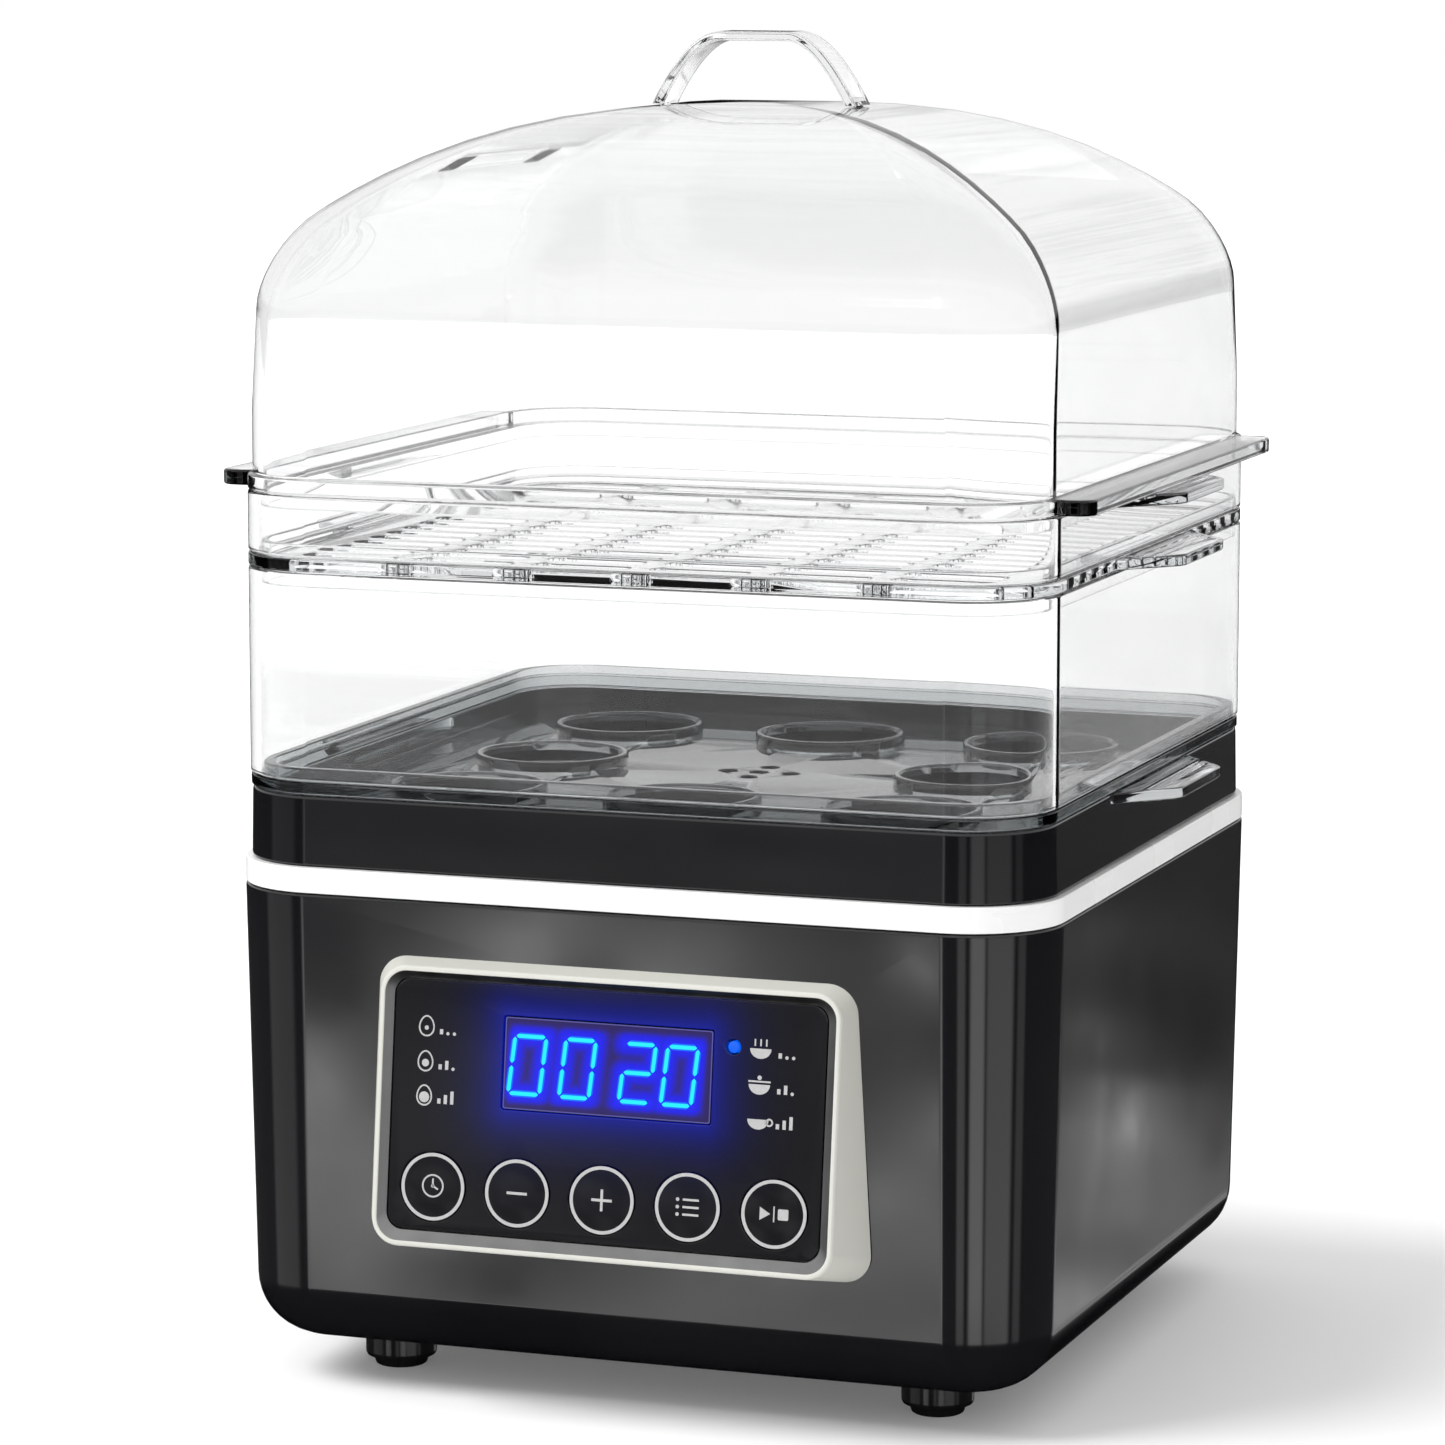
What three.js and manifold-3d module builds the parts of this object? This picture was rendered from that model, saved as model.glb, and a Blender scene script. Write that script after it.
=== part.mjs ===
// Two-tier egg cooker and steamer. Millimetres, +Z up, front towards -Y.
// The plan of every housing and tier is a rounded square, so most pieces are stacks of rounded squares.
import * as THREE from 'three';
import { mergeVertices } from 'three/addons/utils/BufferGeometryUtils.js';
import Module from 'manifold-3d';

const wasm = await Module();
wasm.setup();

// ---- driving dimensions -------------------------------------------------------------------------
const GAP = 0.3; // clearance between pieces that touch
const HALF = 100; // half width of the base at its widest
const CORNER = 22.75; // plan corner radius at the widest width
const CORNER_STEPS = 4; // facets in each plan corner
const Y_SHIFT = 4.98; // brings the whole outline's centre, front panel included, to the origin

const FOOT_TOP = 10; // levels of the joints between the stacked pieces
const BASE_TOP = 118.67;
const BAND_TOP = 124.94;
const COLLAR_TOP = 141.7;
const EGG_TRAY_TOP = 144.7;
const LOWER_TIER_TOP = 193.4;
const STEAM_TRAY_TOP = 196.9;
const UPPER_RING_TOP = 211.2;
const FLANGE_TOP = 215;

const BASE_FOOT_HALF = 98.23; // half width where the lower edge round starts
const BASE_ROUND = 14.5;
const BASE_WALL = 2.6;
const COVER_HALF = 77.7;
const COVER_THICK = 2.5;
const COVER_TOP = FOOT_TOP + GAP + COVER_THICK;
const QUARTER_TURNS = [0, 90, 180, 270]; // the cover's four screws
const COVER_VENT = [34, 4]; // length and width of an air slot in the cover
const COVER_VENT_X = 22;
const COVER_VENT_PITCH = 12;

const COLLAR_HALF = 98.43;
const WELL_HALF = 95.4; // inside of the collar, which the egg tray drops into
const WELL_FLOOR = 127.6;
const PLATE_HOLE_R = 77;

const TIER_HALF = 98.6;
const TIER_WALL = 2.4;
const LIP_HALF = TIER_HALF - TIER_WALL - 0.6; // locating lips and skirts slide inside a tier wall
const LIP_WALL = 1.6;
const LIP_HIGH = 3;

const TAB_ROOT = 33; // half length of a grip tab where it leaves the wall
const TAB_TIP = 18;
const TAB_REACH = 12.4;
const TAB_THICK = 2.7;

const SEAT_PITCH = 54;
const SEAT_R = 17;

const SLOT_COLUMNS = 6;
const SLOT_ROWS = 17;
const SLOT_PITCH_X = 29;
const SLOT_PITCH_Y = 10.2;
const SLOT_LONG = 24;
const SLOT_WIDE = 5.2;

const LID_HALF = 97.4;
const LID_WALL = 2.4;
const SHOULDER_HALF = 97; // half width where the straight wall ends
const SHOULDER_ROUND = 11.9;
const ROOF_TOP = 299.2;
const ROOF_DROP = 34; // height that the roof curve loses out to the shoulder
const ROOF_POWER = 2.67;
const WING_HALF = 106.5;
const WING_LONG = 81;

const VENT_X = -67; // the lid's two vents stand side by side on its left slope
const VENT_Y = 27.5;
const VENT_SIZE = [6.4, 10.7];

const PEG_X = 24.4; // handle pegs, left and right of the crown
const PEG_R = 1.3;
const HANDLE_OUTER = 25.8; // half span of the strap at its feet
const HANDLE_FLAT = 9;
const HANDLE_TOP = 316;
const HANDLE_WIDE = 12;
const HANDLE_THICK = 2.2;

const FOOT_X = 67.4;
const GLAND_X = 62;
const GLAND_Z = 38;
const PANEL_TILT = THREE.MathUtils.degToRad(7);
const PANEL_ORIGIN = new THREE.Vector3(0, -108.39, 70.67); // a point on the panel's front plane
const RIM_HALF = 56.2; // front rim of the bezel, in the panel's own plane
const RIM_LOW = -31;
const RIM_HIGH = 34;
const OVERLAY_HALF = 52.6;
const OVERLAY_LOW = -26.9;
const OVERLAY_HIGH = 30.9;
const OVERLAY_INSET = 1.2; // the overlay's face lies this far behind the rim
const OVERLAY_THICK = 2;
const KEY_PITCH = 20.8;
const KEY_V = -16.8;
const KEY_R = 7.9;
const KEY_COUNT = 5;
const WINDOW_HALF = 25.6;
const WINDOW_LOW = 2.1;
const WINDOW_HIGH = 23.9;
const LED_U = 30.3;
const LED_V = 20.3;
const BOARD_DEPTH = 9.5; // from the overlay's face back to the control board's face

// ---- materials ----------------------------------------------------------------------------------
function material(color, roughness, metalness = 0, opacity = 1) {
  return new THREE.MeshStandardMaterial({ color, roughness, metalness, opacity, transparent: opacity < 1 });
}
const BLACK_GLOSS = material(0x0b0b0c, 0.08);
const WHITE_PLASTIC = material(0xf2f2f0, 0.3);
const BEZEL_GREY = material(0xc4c4ba, 0.4);
const CLEAR = material(0xeef2f4, 0.05, 0, 0.3);
const STEEL = material(0xb9bbbe, 0.25, 1);
const ALUMINIUM = material(0xa8abad, 0.45, 1);
const RUBBER = material(0x0d0d0d, 0.6);
const SILICONE = material(0xd8d5cc, 0.7);
const BOARD_GREEN = material(0x1f5a32, 0.5);
const DARK_PLASTIC = material(0x18181a, 0.5);
const DISPLAY_BLUE = material(0x1a48ff, 0.3);
const BLUE_PLASTIC = material(0x1d4f9c, 0.5);
const COPPER = material(0xb87333, 0.35, 1);

// ---- geometry helpers ---------------------------------------------------------------------------
function indexed(points, faces) {
  const geometry = new THREE.BufferGeometry();
  geometry.setAttribute('position', new THREE.Float32BufferAttribute(points.flat(), 3));
  geometry.setIndex(faces.flat());
  return geometry;
}

// A closed mesh with only its positions, vertices shared, as a solid that can be joined and cut.
function solid(geometry) {
  let plain = geometry.clone();
  for (const name of Object.keys(plain.attributes)) {
    if (name !== 'position') plain.deleteAttribute(name);
  }
  plain = mergeVertices(plain, 1e-4);
  const triVerts = new Uint32Array(plain.index.array);
  const vertProperties = new Float32Array(plain.attributes.position.array);
  return new wasm.Manifold(new wasm.Mesh({ numProp: 3, vertProperties, triVerts }));
}

function fromSolid(body) {
  const mesh = body.getMesh();
  const geometry = new THREE.BufferGeometry();
  geometry.setAttribute('position', new THREE.BufferAttribute(mesh.vertProperties, 3));
  geometry.setIndex(new THREE.BufferAttribute(mesh.triVerts, 1));
  geometry.computeVertexNormals();
  return geometry;
}

function cutFrom(body, cutters) {
  return cutters.reduce((rest, cutter) => rest.subtract(cutter), body);
}

function joined(bodies) {
  return bodies.reduce((whole, next) => whole.add(next));
}

// One rounded rectangle of points at a height, anticlockwise seen from above.
function outline(halfX, halfY, radius, z, centreY = 0) {
  const points = [];
  const corners = [[1, 1], [-1, 1], [-1, -1], [1, -1]];
  corners.forEach(([signX, signY], quarter) => {
    for (let step = 0; step <= CORNER_STEPS; step += 1) {
      const angle = (quarter + step / CORNER_STEPS) * (Math.PI / 2);
      const x = signX * (halfX - radius) + radius * Math.cos(angle);
      const y = signY * (halfY - radius) + radius * Math.sin(angle);
      points.push([x, y + centreY, z]);
    }
  });
  return points;
}

// A closed solid through a stack of outlines, lowest first.
function loft(outlines) {
  const count = outlines[0].length;
  const faces = [];
  for (let level = 0; level + 1 < outlines.length; level += 1) {
    for (let i = 0; i < count; i += 1) {
      const a = level * count + i;
      const b = level * count + ((i + 1) % count);
      faces.push([a, b, b + count], [a, b + count, a + count]);
    }
  }
  const top = (outlines.length - 1) * count;
  for (let i = 1; i + 1 < count; i += 1) {
    faces.push([0, i + 1, i], [top, top + i, top + i + 1]);
  }
  return solid(indexed(outlines.flat(), faces));
}

function square(half, z, radius = Math.max(1, CORNER - (HALF - half))) {
  return outline(half, half, radius, z);
}

// A plate or ring blank of constant plan between two heights.
function block(half, low, high, radius) {
  return loft([square(half, low, radius), square(half, high, radius)]);
}

function box(x, y, z, centre) {
  return solid(new THREE.BoxGeometry(x, y, z).translate(...centre));
}

// A solid of revolution about Z from [radius, height] points, with both ends on the axis.
function turned(profile, segments = 24) {
  const points = profile.map(([r, z]) => new THREE.Vector2(r, z));
  return solid(new THREE.LatheGeometry(points, segments).rotateX(Math.PI / 2));
}

function disc(radius, low, high, segments = 24, x = 0, y = 0) {
  return turned([[0, low], [radius, low], [radius, high], [0, high]], segments).translate([x, y, 0]);
}

// ---- scene ------------------------------------------------------------------------------------
const cooker = new THREE.Group();
const assembly = new THREE.Group();
assembly.position.y = Y_SHIFT;
cooker.add(assembly);

function place(name, body, look, parent = assembly) {
  const mesh = new THREE.Mesh(fromSolid(body), look);
  mesh.name = name;
  parent.add(mesh);
  return mesh;
}

// ---- base -------------------------------------------------------------------------------------
function roundedBottom(half, low, round, steps) {
  const outlines = [];
  const corner = CORNER - (HALF - BASE_FOOT_HALF);
  for (let step = 0; step <= steps; step += 1) {
    const angle = (step / steps) * (Math.PI / 2);
    const inset = round * (1 - Math.sin(angle));
    outlines.push(square(half - inset, low + round * (1 - Math.cos(angle)), corner - inset));
  }
  return outlines;
}

function panelPocket() {
  const low = PANEL_ORIGIN.z + RIM_LOW + 6;
  const high = PANEL_ORIGIN.z + RIM_HIGH - 4;
  return box(2 * (OVERLAY_HALF - 2), 20, high - low, [0, -HALF, (low + high) / 2]);
}

function screwBoss(angle) {
  const post = disc(4, COVER_TOP + GAP, FOOT_TOP + BASE_ROUND + 4, 10, FOOT_X, 0);
  const reach = BASE_FOOT_HALF - BASE_WALL + 1 - FOOT_X;
  const rib = box(reach, 2, 4, [FOOT_X + reach / 2, 0, FOOT_TOP + BASE_ROUND + 2]);
  return post.add(rib).rotate([0, 0, angle]);
}

function baseHousing() {
  const outer = loft([
    ...roundedBottom(BASE_FOOT_HALF, FOOT_TOP, BASE_ROUND, 5),
    square(HALF, BASE_TOP - GAP / 2),
  ]);
  const innerRound = BASE_ROUND - BASE_WALL;
  const inner = loft([
    ...roundedBottom(BASE_FOOT_HALF - BASE_WALL, FOOT_TOP + BASE_WALL, innerRound, 4),
    square(HALF - BASE_WALL, BASE_TOP + 1),
  ]);
  const opening = block(COVER_HALF + GAP, FOOT_TOP - 1, FOOT_TOP + BASE_WALL + 1, 8.4);
  const glandHole = disc(5.3, -6, 6, 16).rotate([90, 0, 0]).translate([GLAND_X, HALF - 2, GLAND_Z]);
  const bosses = QUARTER_TURNS.map(screwBoss);
  const pilots = QUARTER_TURNS.map((angle) =>
    disc(1.8, COVER_TOP - 2, COVER_TOP + 14, 10, FOOT_X, 0).rotate([0, 0, angle]));
  const shell = cutFrom(outer, [inner, opening, panelPocket(), glandHole]);
  return cutFrom(joined([shell, ...bosses]), pilots);
}

function bottomCover() {
  const plate = block(COVER_HALF, FOOT_TOP + GAP, COVER_TOP, 8);
  const vents = [];
  for (let row = -2; row <= 2; row += 1) {
    for (const side of [-1, 1]) {
      vents.push(box(...COVER_VENT, 8, [side * COVER_VENT_X, row * COVER_VENT_PITCH, COVER_TOP]));
    }
  }
  const screwHoles = QUARTER_TURNS.map((angle) =>
    disc(2, 0, 20, 10, FOOT_X, 0).rotate([0, 0, angle]));
  return cutFrom(plate, [...vents, ...screwHoles]);
}

function foot() {
  const top = FOOT_TOP;
  return turned([[0, 0], [6, 0], [6.3, 1.2], [8, 2.6], [8.5, 5], [8.5, top], [0, top]], 14);
}

function screw() {
  const head = FOOT_TOP;
  const tip = head + 12;
  return turned([
    [0, head - 2], [2.2, head - 2], [3, head - 1], [3, head], [1.4, head], [1.4, tip], [0, tip],
  ], 10);
}

place('base_housing', baseHousing(), BLACK_GLOSS);
place('bottom_cover', bottomCover(), DARK_PLASTIC);
const FOOT_PLACES = { front_left: [-1, -1], front_right: [1, -1], rear_left: [-1, 1], rear_right: [1, 1] };
for (const [where, [signX, signY]] of Object.entries(FOOT_PLACES)) {
  place(`foot_${where}`, foot(), RUBBER).position.set(signX * FOOT_X, signY * FOOT_X, 0);
}
['right', 'rear', 'left', 'front'].forEach((where, quarter) => {
  const angle = quarter * (Math.PI / 2);
  const mesh = place(`cover_screw_${where}`, screw(), STEEL);
  mesh.position.set(FOOT_X * Math.cos(angle), FOOT_X * Math.sin(angle), 0);
});

// ---- trim band, collar and heater -----------------------------------------------------------------
function trimBand() {
  const outer = block(HALF, BASE_TOP + GAP / 2, BAND_TOP - GAP / 2);
  return outer.subtract(block(HALF - 3.5, BASE_TOP - 1, BAND_TOP + 1));
}

function collarRing() {
  const low = BAND_TOP + GAP / 2;
  const high = COLLAR_TOP - GAP / 2;
  const outer = loft([
    square(COLLAR_HALF, low), square(COLLAR_HALF, high - 1), square(COLLAR_HALF - 0.8, high),
  ]);
  const well = block(WELL_HALF, WELL_FLOOR, COLLAR_TOP + 1);
  const notchLow = COLLAR_TOP - TAB_THICK - 2 * GAP;
  const notches = [-1, 1].map((side) =>
    box(8, 2 * TAB_ROOT + 2, 6, [side * (WELL_HALF + 2), 0, notchLow + 3]));
  return cutFrom(outer, [well, disc(PLATE_HOLE_R, low - 1, WELL_FLOOR + 1, 32), ...notches]);
}

function plateSeal() {
  const low = WELL_FLOOR + GAP;
  return disc(82.5, low, low + 1.6, 32).subtract(disc(77.6, low - 1, low + 3, 32));
}

const PLATE_FLANGE = WELL_FLOOR + 2 * GAP + 1.6;
const PLATE_UNDER = 117.4;

function heatingPlate() {
  const rim = PLATE_FLANGE + 1;
  return turned([
    [0, PLATE_UNDER], [70, PLATE_UNDER], [73.5, PLATE_UNDER + 1.5], [75, PLATE_FLANGE - 1],
    [76, PLATE_FLANGE],
    [82.5, PLATE_FLANGE], [82.5, rim], [75.5, rim], [74, rim - 1], [72.5, PLATE_UNDER + 2.6],
    [69.5, PLATE_UNDER + 1], [0, PLATE_UNDER + 1],
  ], 24);
}

function heaterSpreader() {
  const high = PLATE_UNDER - GAP;
  return disc(62, high - 4, high, 32);
}

const ELEMENT_R = 48;
const ELEMENT_TUBE_R = 4;


// An open ring of heater tube whose two ends turn down to the terminals.
function heatingElement() {
  const centre = PLATE_UNDER - 4 - 2 * GAP - ELEMENT_TUBE_R;
  const points = [];
  const open = THREE.MathUtils.degToRad(22);
  const steps = 28;
  for (let step = 0; step <= steps; step += 1) {
    const angle = Math.PI / 2 + open / 2 + (step / steps) * (2 * Math.PI - open);
    points.push(new THREE.Vector3(ELEMENT_R * Math.cos(angle), ELEMENT_R * Math.sin(angle), centre));
  }
  const section = new THREE.Shape();
  section.absarc(0, 0, ELEMENT_TUBE_R, 0, 2 * Math.PI);
  const path = new THREE.CatmullRomCurve3(points);
  const ring = new THREE.ExtrudeGeometry(section, { steps: 26, curveSegments: 4, extrudePath: path });
  return solid(ring);
}

function heaterTerminal() {
  const high = PLATE_UNDER - 6;
  return box(1, 5, 12, [0, 0, high - 6]);
}

const SHIELD_TOP = 102;
const POST_RING_R = 57;
const POST_DEGREES = [30, 150, 270];

function heatShield() {
  const dish = turned([
    [0, SHIELD_TOP - 5], [62.6, SHIELD_TOP - 5], [68, SHIELD_TOP], [74, SHIELD_TOP], [74, SHIELD_TOP + 1],
    [67.5, SHIELD_TOP + 1], [62.2, SHIELD_TOP - 4], [0, SHIELD_TOP - 4],
  ], 20);
  const wireWay = disc(10, SHIELD_TOP - 8, SHIELD_TOP + 4, 12, 0, ELEMENT_R);
  const posts = POST_DEGREES.map((angle) =>
    disc(2, SHIELD_TOP - 8, SHIELD_TOP + 4, 10, POST_RING_R, 0).rotate([0, 0, angle]));
  return cutFrom(dish, [wireWay, ...posts]);
}

// A threaded post that hangs the heat shield under the heater spreader.
function shieldPost() {
  const high = PLATE_UNDER - 4 - 2 * GAP;
  const seat = SHIELD_TOP - 4 + GAP;
  return turned([
    [0, seat - 6], [1.6, seat - 6], [1.6, seat], [3.4, seat], [3.4, high], [0, high],
  ], 10);
}

function thermostat() {
  const high = PLATE_UNDER - 4 - 2 * GAP;
  const low = high - 9;
  const flange = high - 1.2;
  return turned([
    [0, low], [5, low], [5, low + 3], [8.5, low + 3], [8.5, flange], [10.5, flange], [10.5, high], [0, high],
  ], 16);
}

function thermalFuse() {
  const body = disc(2.4, -7, 7, 10).add(disc(0.8, -15, 15, 8));
  return body.rotate([0, 90, 0]).translate([0, 0, PLATE_UNDER - 4 - 2 * GAP - 3]);
}

place('trim_band', trimBand(), WHITE_PLASTIC);
place('collar_ring', collarRing(), BLACK_GLOSS);
place('plate_seal', plateSeal(), SILICONE);
place('heating_plate', heatingPlate(), STEEL);
place('heater_spreader', heaterSpreader(), ALUMINIUM);
place('heating_element', heatingElement(), STEEL);
[-1, 1].forEach((side) => {
  const name = side < 0 ? 'heater_terminal_left' : 'heater_terminal_right';
  place(name, heaterTerminal(), COPPER).position.set(side * 5, ELEMENT_R, 0);
});
place('heat_shield', heatShield(), ALUMINIUM);
POST_DEGREES.forEach((degrees, index) => {
  const angle = THREE.MathUtils.degToRad(degrees);
  const post = place(`shield_post_${index + 1}`, shieldPost(), STEEL);
  post.position.set(POST_RING_R * Math.cos(angle), POST_RING_R * Math.sin(angle), 0);
});
place('thermostat', thermostat(), DARK_PLASTIC).position.set(-16, 0, 0);
place('thermal_fuse', thermalFuse(), SILICONE).position.set(14, 12, 0);

// ---- control panel ----------------------------------------------------------------------------------
// The panel group's own frame: X across, Y up the panel, Z out of its face.
const panel = new THREE.Group();
panel.position.copy(PANEL_ORIGIN);
panel.rotation.x = Math.PI / 2 - PANEL_TILT;
assembly.add(panel);

// The housing's front, which leans out a little towards its top.
function faceY(z) {
  const low = FOOT_TOP + BASE_ROUND;
  return -BASE_FOOT_HALF - (HALF - BASE_FOOT_HALF) * ((z - low) / (BASE_TOP - low));
}

// Distance from the panel's plane back to the housing's front, at a height v up the panel.
function standOff(v) {
  const y = PANEL_ORIGIN.y + v * Math.sin(PANEL_TILT);
  const z = PANEL_ORIGIN.z + v * Math.cos(PANEL_TILT);
  return (faceY(z) - y) / Math.cos(PANEL_TILT);
}

const FLARE = 0.4; // how far the bezel's sides spread for each millimetre back
const FLARE_UNDER = 0.1; // the same along its bottom edge

// The wedge's back outline follows the housing's front, and its sides flare towards it.
function bezelBlock() {
  const rim = outline(RIM_HALF, (RIM_HIGH - RIM_LOW) / 2, 6.5, 0, (RIM_HIGH + RIM_LOW) / 2);
  const back = rim.map(([x, y]) => {
    const depth = standOff(y);
    const sideX = Math.sign(x) * Math.min(1, Math.abs(x) / RIM_HALF);
    const sideY = (y - (RIM_HIGH + RIM_LOW) / 2) / ((RIM_HIGH - RIM_LOW) / 2);
    const spreadY = sideY < 0 ? FLARE_UNDER : FLARE;
    return [x + sideX * FLARE * depth, y + sideY * spreadY * depth, -depth + GAP];
  });
  const chamfer = rim.map(([x, y]) => [x, y, -0.8]);
  const front = outline(RIM_HALF - 0.6, (RIM_HIGH - RIM_LOW) / 2 - 0.6, 5.9, 0, (RIM_HIGH + RIM_LOW) / 2);
  return loft([back, chamfer, front]);
}

function rect(half, low, high, radius, z) {
  return outline(half, (high - low) / 2, radius, z, (high + low) / 2);
}

function bezel() {
  const mouth = loft([
    rect(OVERLAY_HALF + GAP, OVERLAY_LOW - GAP, OVERLAY_HIGH + GAP, 4, -OVERLAY_INSET - 0.3),
    rect(OVERLAY_HALF + 1.8, OVERLAY_LOW - 1.8, OVERLAY_HIGH + 1.8, 5, 0.3),
  ]);
  const seatDepth = OVERLAY_INSET + OVERLAY_THICK + GAP;
  const pocket = loft([
    rect(OVERLAY_HALF + GAP, OVERLAY_LOW - GAP, OVERLAY_HIGH + GAP, 4, -seatDepth),
    rect(OVERLAY_HALF + GAP, OVERLAY_LOW - GAP, OVERLAY_HIGH + GAP, 4, -OVERLAY_INSET),
  ]);
  const through = loft([
    rect(OVERLAY_HALF - 1.8, OVERLAY_LOW + 0.9, OVERLAY_HIGH - 0.9, 3, -30),
    rect(OVERLAY_HALF - 1.8, OVERLAY_LOW + 0.9, OVERLAY_HIGH - 0.9, 3, -OVERLAY_INSET),
  ]);
  return cutFrom(bezelBlock(), [mouth, pocket, through]);
}

function keyU(index) {
  return (index - (KEY_COUNT - 1) / 2) * KEY_PITCH;
}

function overlay() {
  const front = -OVERLAY_INSET;
  const plate = loft([
    rect(OVERLAY_HALF, OVERLAY_LOW, OVERLAY_HIGH, 3.7, front - OVERLAY_THICK),
    rect(OVERLAY_HALF, OVERLAY_LOW, OVERLAY_HIGH, 3.7, front),
  ]);
  const holes = [];
  for (let index = 0; index < KEY_COUNT; index += 1) {
    holes.push(disc(KEY_R + GAP, front - 5, 1, 18, keyU(index), KEY_V));
  }
  const windowHigh = WINDOW_HIGH - WINDOW_LOW;
  const windowMid = (WINDOW_HIGH + WINDOW_LOW) / 2;
  holes.push(box(2 * WINDOW_HALF, windowHigh, 8, [0, windowMid, front]));
  holes.push(disc(1.8, front - 5, 1, 12, LED_U, LED_V));
  return cutFrom(plate, holes);
}

function displayWindow() {
  const size = [2 * WINDOW_HALF - 2 * GAP, WINDOW_HIGH - WINDOW_LOW - 2 * GAP, OVERLAY_THICK - 0.4];
  return box(...size, [0, (WINDOW_HIGH + WINDOW_LOW) / 2, -OVERLAY_INSET - OVERLAY_THICK / 2 - 0.2]);
}

const BOARD_FACE = -OVERLAY_INSET - BOARD_DEPTH;
const SWITCH_HIGH = 4.4;
const KEY_TRAVEL = 0.5;

function controlBoard() {
  return loft([
    rect(OVERLAY_HALF - 4, OVERLAY_LOW + 2.5, OVERLAY_HIGH - 2.5, 2, BOARD_FACE - 1.6),
    rect(OVERLAY_HALF - 4, OVERLAY_LOW + 2.5, OVERLAY_HIGH - 2.5, 2, BOARD_FACE),
  ]);
}

function displayModule() {
  const low = BOARD_FACE + GAP;
  const high = -OVERLAY_INSET - OVERLAY_THICK - GAP;
  return box(50, 19.5, high - low, [0, (WINDOW_HIGH + WINDOW_LOW) / 2, (low + high) / 2]);
}

function indicatorLed() {
  const low = BOARD_FACE + GAP;
  return disc(1.4, low, -OVERLAY_INSET - 0.2, 12, LED_U, LED_V);
}

// A cap flush with the overlay, with a wider collar behind it and a stem down to its switch.
function key() {
  const front = -OVERLAY_INSET;
  const back = front - OVERLAY_THICK - GAP - 0.2;
  const stem = BOARD_FACE + SWITCH_HIGH + GAP;
  return turned([
    [0, stem], [1.8, stem], [1.8, back - 1.2], [KEY_R + 0.8, back - 1.2], [KEY_R + 0.8, back], [KEY_R, back],
    [KEY_R, front], [0, front],
  ], 18);
}

function tactSwitch() {
  const low = BOARD_FACE + GAP;
  return box(6, 6, 3, [0, 0, low + 1.5]).add(disc(1.7, low + 1, BOARD_FACE + SWITCH_HIGH - KEY_TRAVEL, 10));
}

place('panel_bezel', bezel(), BEZEL_GREY, panel);
place('panel_overlay', overlay(), BLACK_GLOSS, panel);
place('display_window', displayWindow(), CLEAR, panel);
place('display_module', displayModule(), DISPLAY_BLUE, panel);
place('indicator_led', indicatorLed(), DISPLAY_BLUE, panel);
place('control_board', controlBoard(), BOARD_GREEN, panel);
for (let index = 0; index < KEY_COUNT; index += 1) {
  place(`key_${index + 1}`, key(), BLACK_GLOSS, panel).position.set(keyU(index), KEY_V, 0);
  place(`tact_switch_${index + 1}`, tactSwitch(), DARK_PLASTIC, panel).position.set(keyU(index), KEY_V, 0);
}

// ---- power electronics ---------------------------------------------------------------------------
const POWER_BOARD_TOP = COVER_TOP + 12;

// The board stands on four posts of its own bracket above the bottom cover.
function boardBracket() {
  const low = COVER_TOP + GAP;
  const plate = box(84, 54, 2, [0, 0, low + 1]);
  const posts = [[-1, -1], [1, -1], [-1, 1], [1, 1]].map(([signX, signY]) =>
    disc(3, low + 1, POWER_BOARD_TOP - 1.6 - GAP, 10, signX * 37, signY * 22));
  return joined([plate, ...posts]);
}

place('board_bracket', boardBracket(), DARK_PLASTIC);
place('power_board', box(82, 52, 1.6, [0, 0, POWER_BOARD_TOP - 0.8]), BOARD_GREEN);
place('relay', box(19, 15.5, 15, [-26, 12, POWER_BOARD_TOP + GAP + 7.5]), BLUE_PLASTIC);
place('transformer', box(24, 20, 18, [18, 10, POWER_BOARD_TOP + GAP + 9]), DARK_PLASTIC);
place('capacitor', disc(6.3, POWER_BOARD_TOP + GAP, POWER_BOARD_TOP + 20, 16, -2, -14), DARK_PLASTIC);
place('buzzer', disc(6, POWER_BOARD_TOP + GAP, POWER_BOARD_TOP + 9, 16, -26, -14), RUBBER);
place('terminal_block', box(20, 10, 11, [24, -16, POWER_BOARD_TOP + GAP + 5.5]), BLUE_PLASTIC);

// A grommet through the rear wall; its bore is where a supply lead would enter.
function cordGland() {
  const profile = [[3.4, -5], [7.5, -5], [7.5, -0.2], [5, -0.2], [5, 3.6], [7, 3.6], [6.2, 6.5], [3.4, 6.5]];
  const points = [...profile, profile[0]].map(([r, z]) => new THREE.Vector2(r, z));
  return solid(new THREE.LatheGeometry(points, 18));
}
place('cord_gland', cordGland(), RUBBER).position.set(GLAND_X, BASE_FOOT_HALF - BASE_WALL, GLAND_Z);

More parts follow.
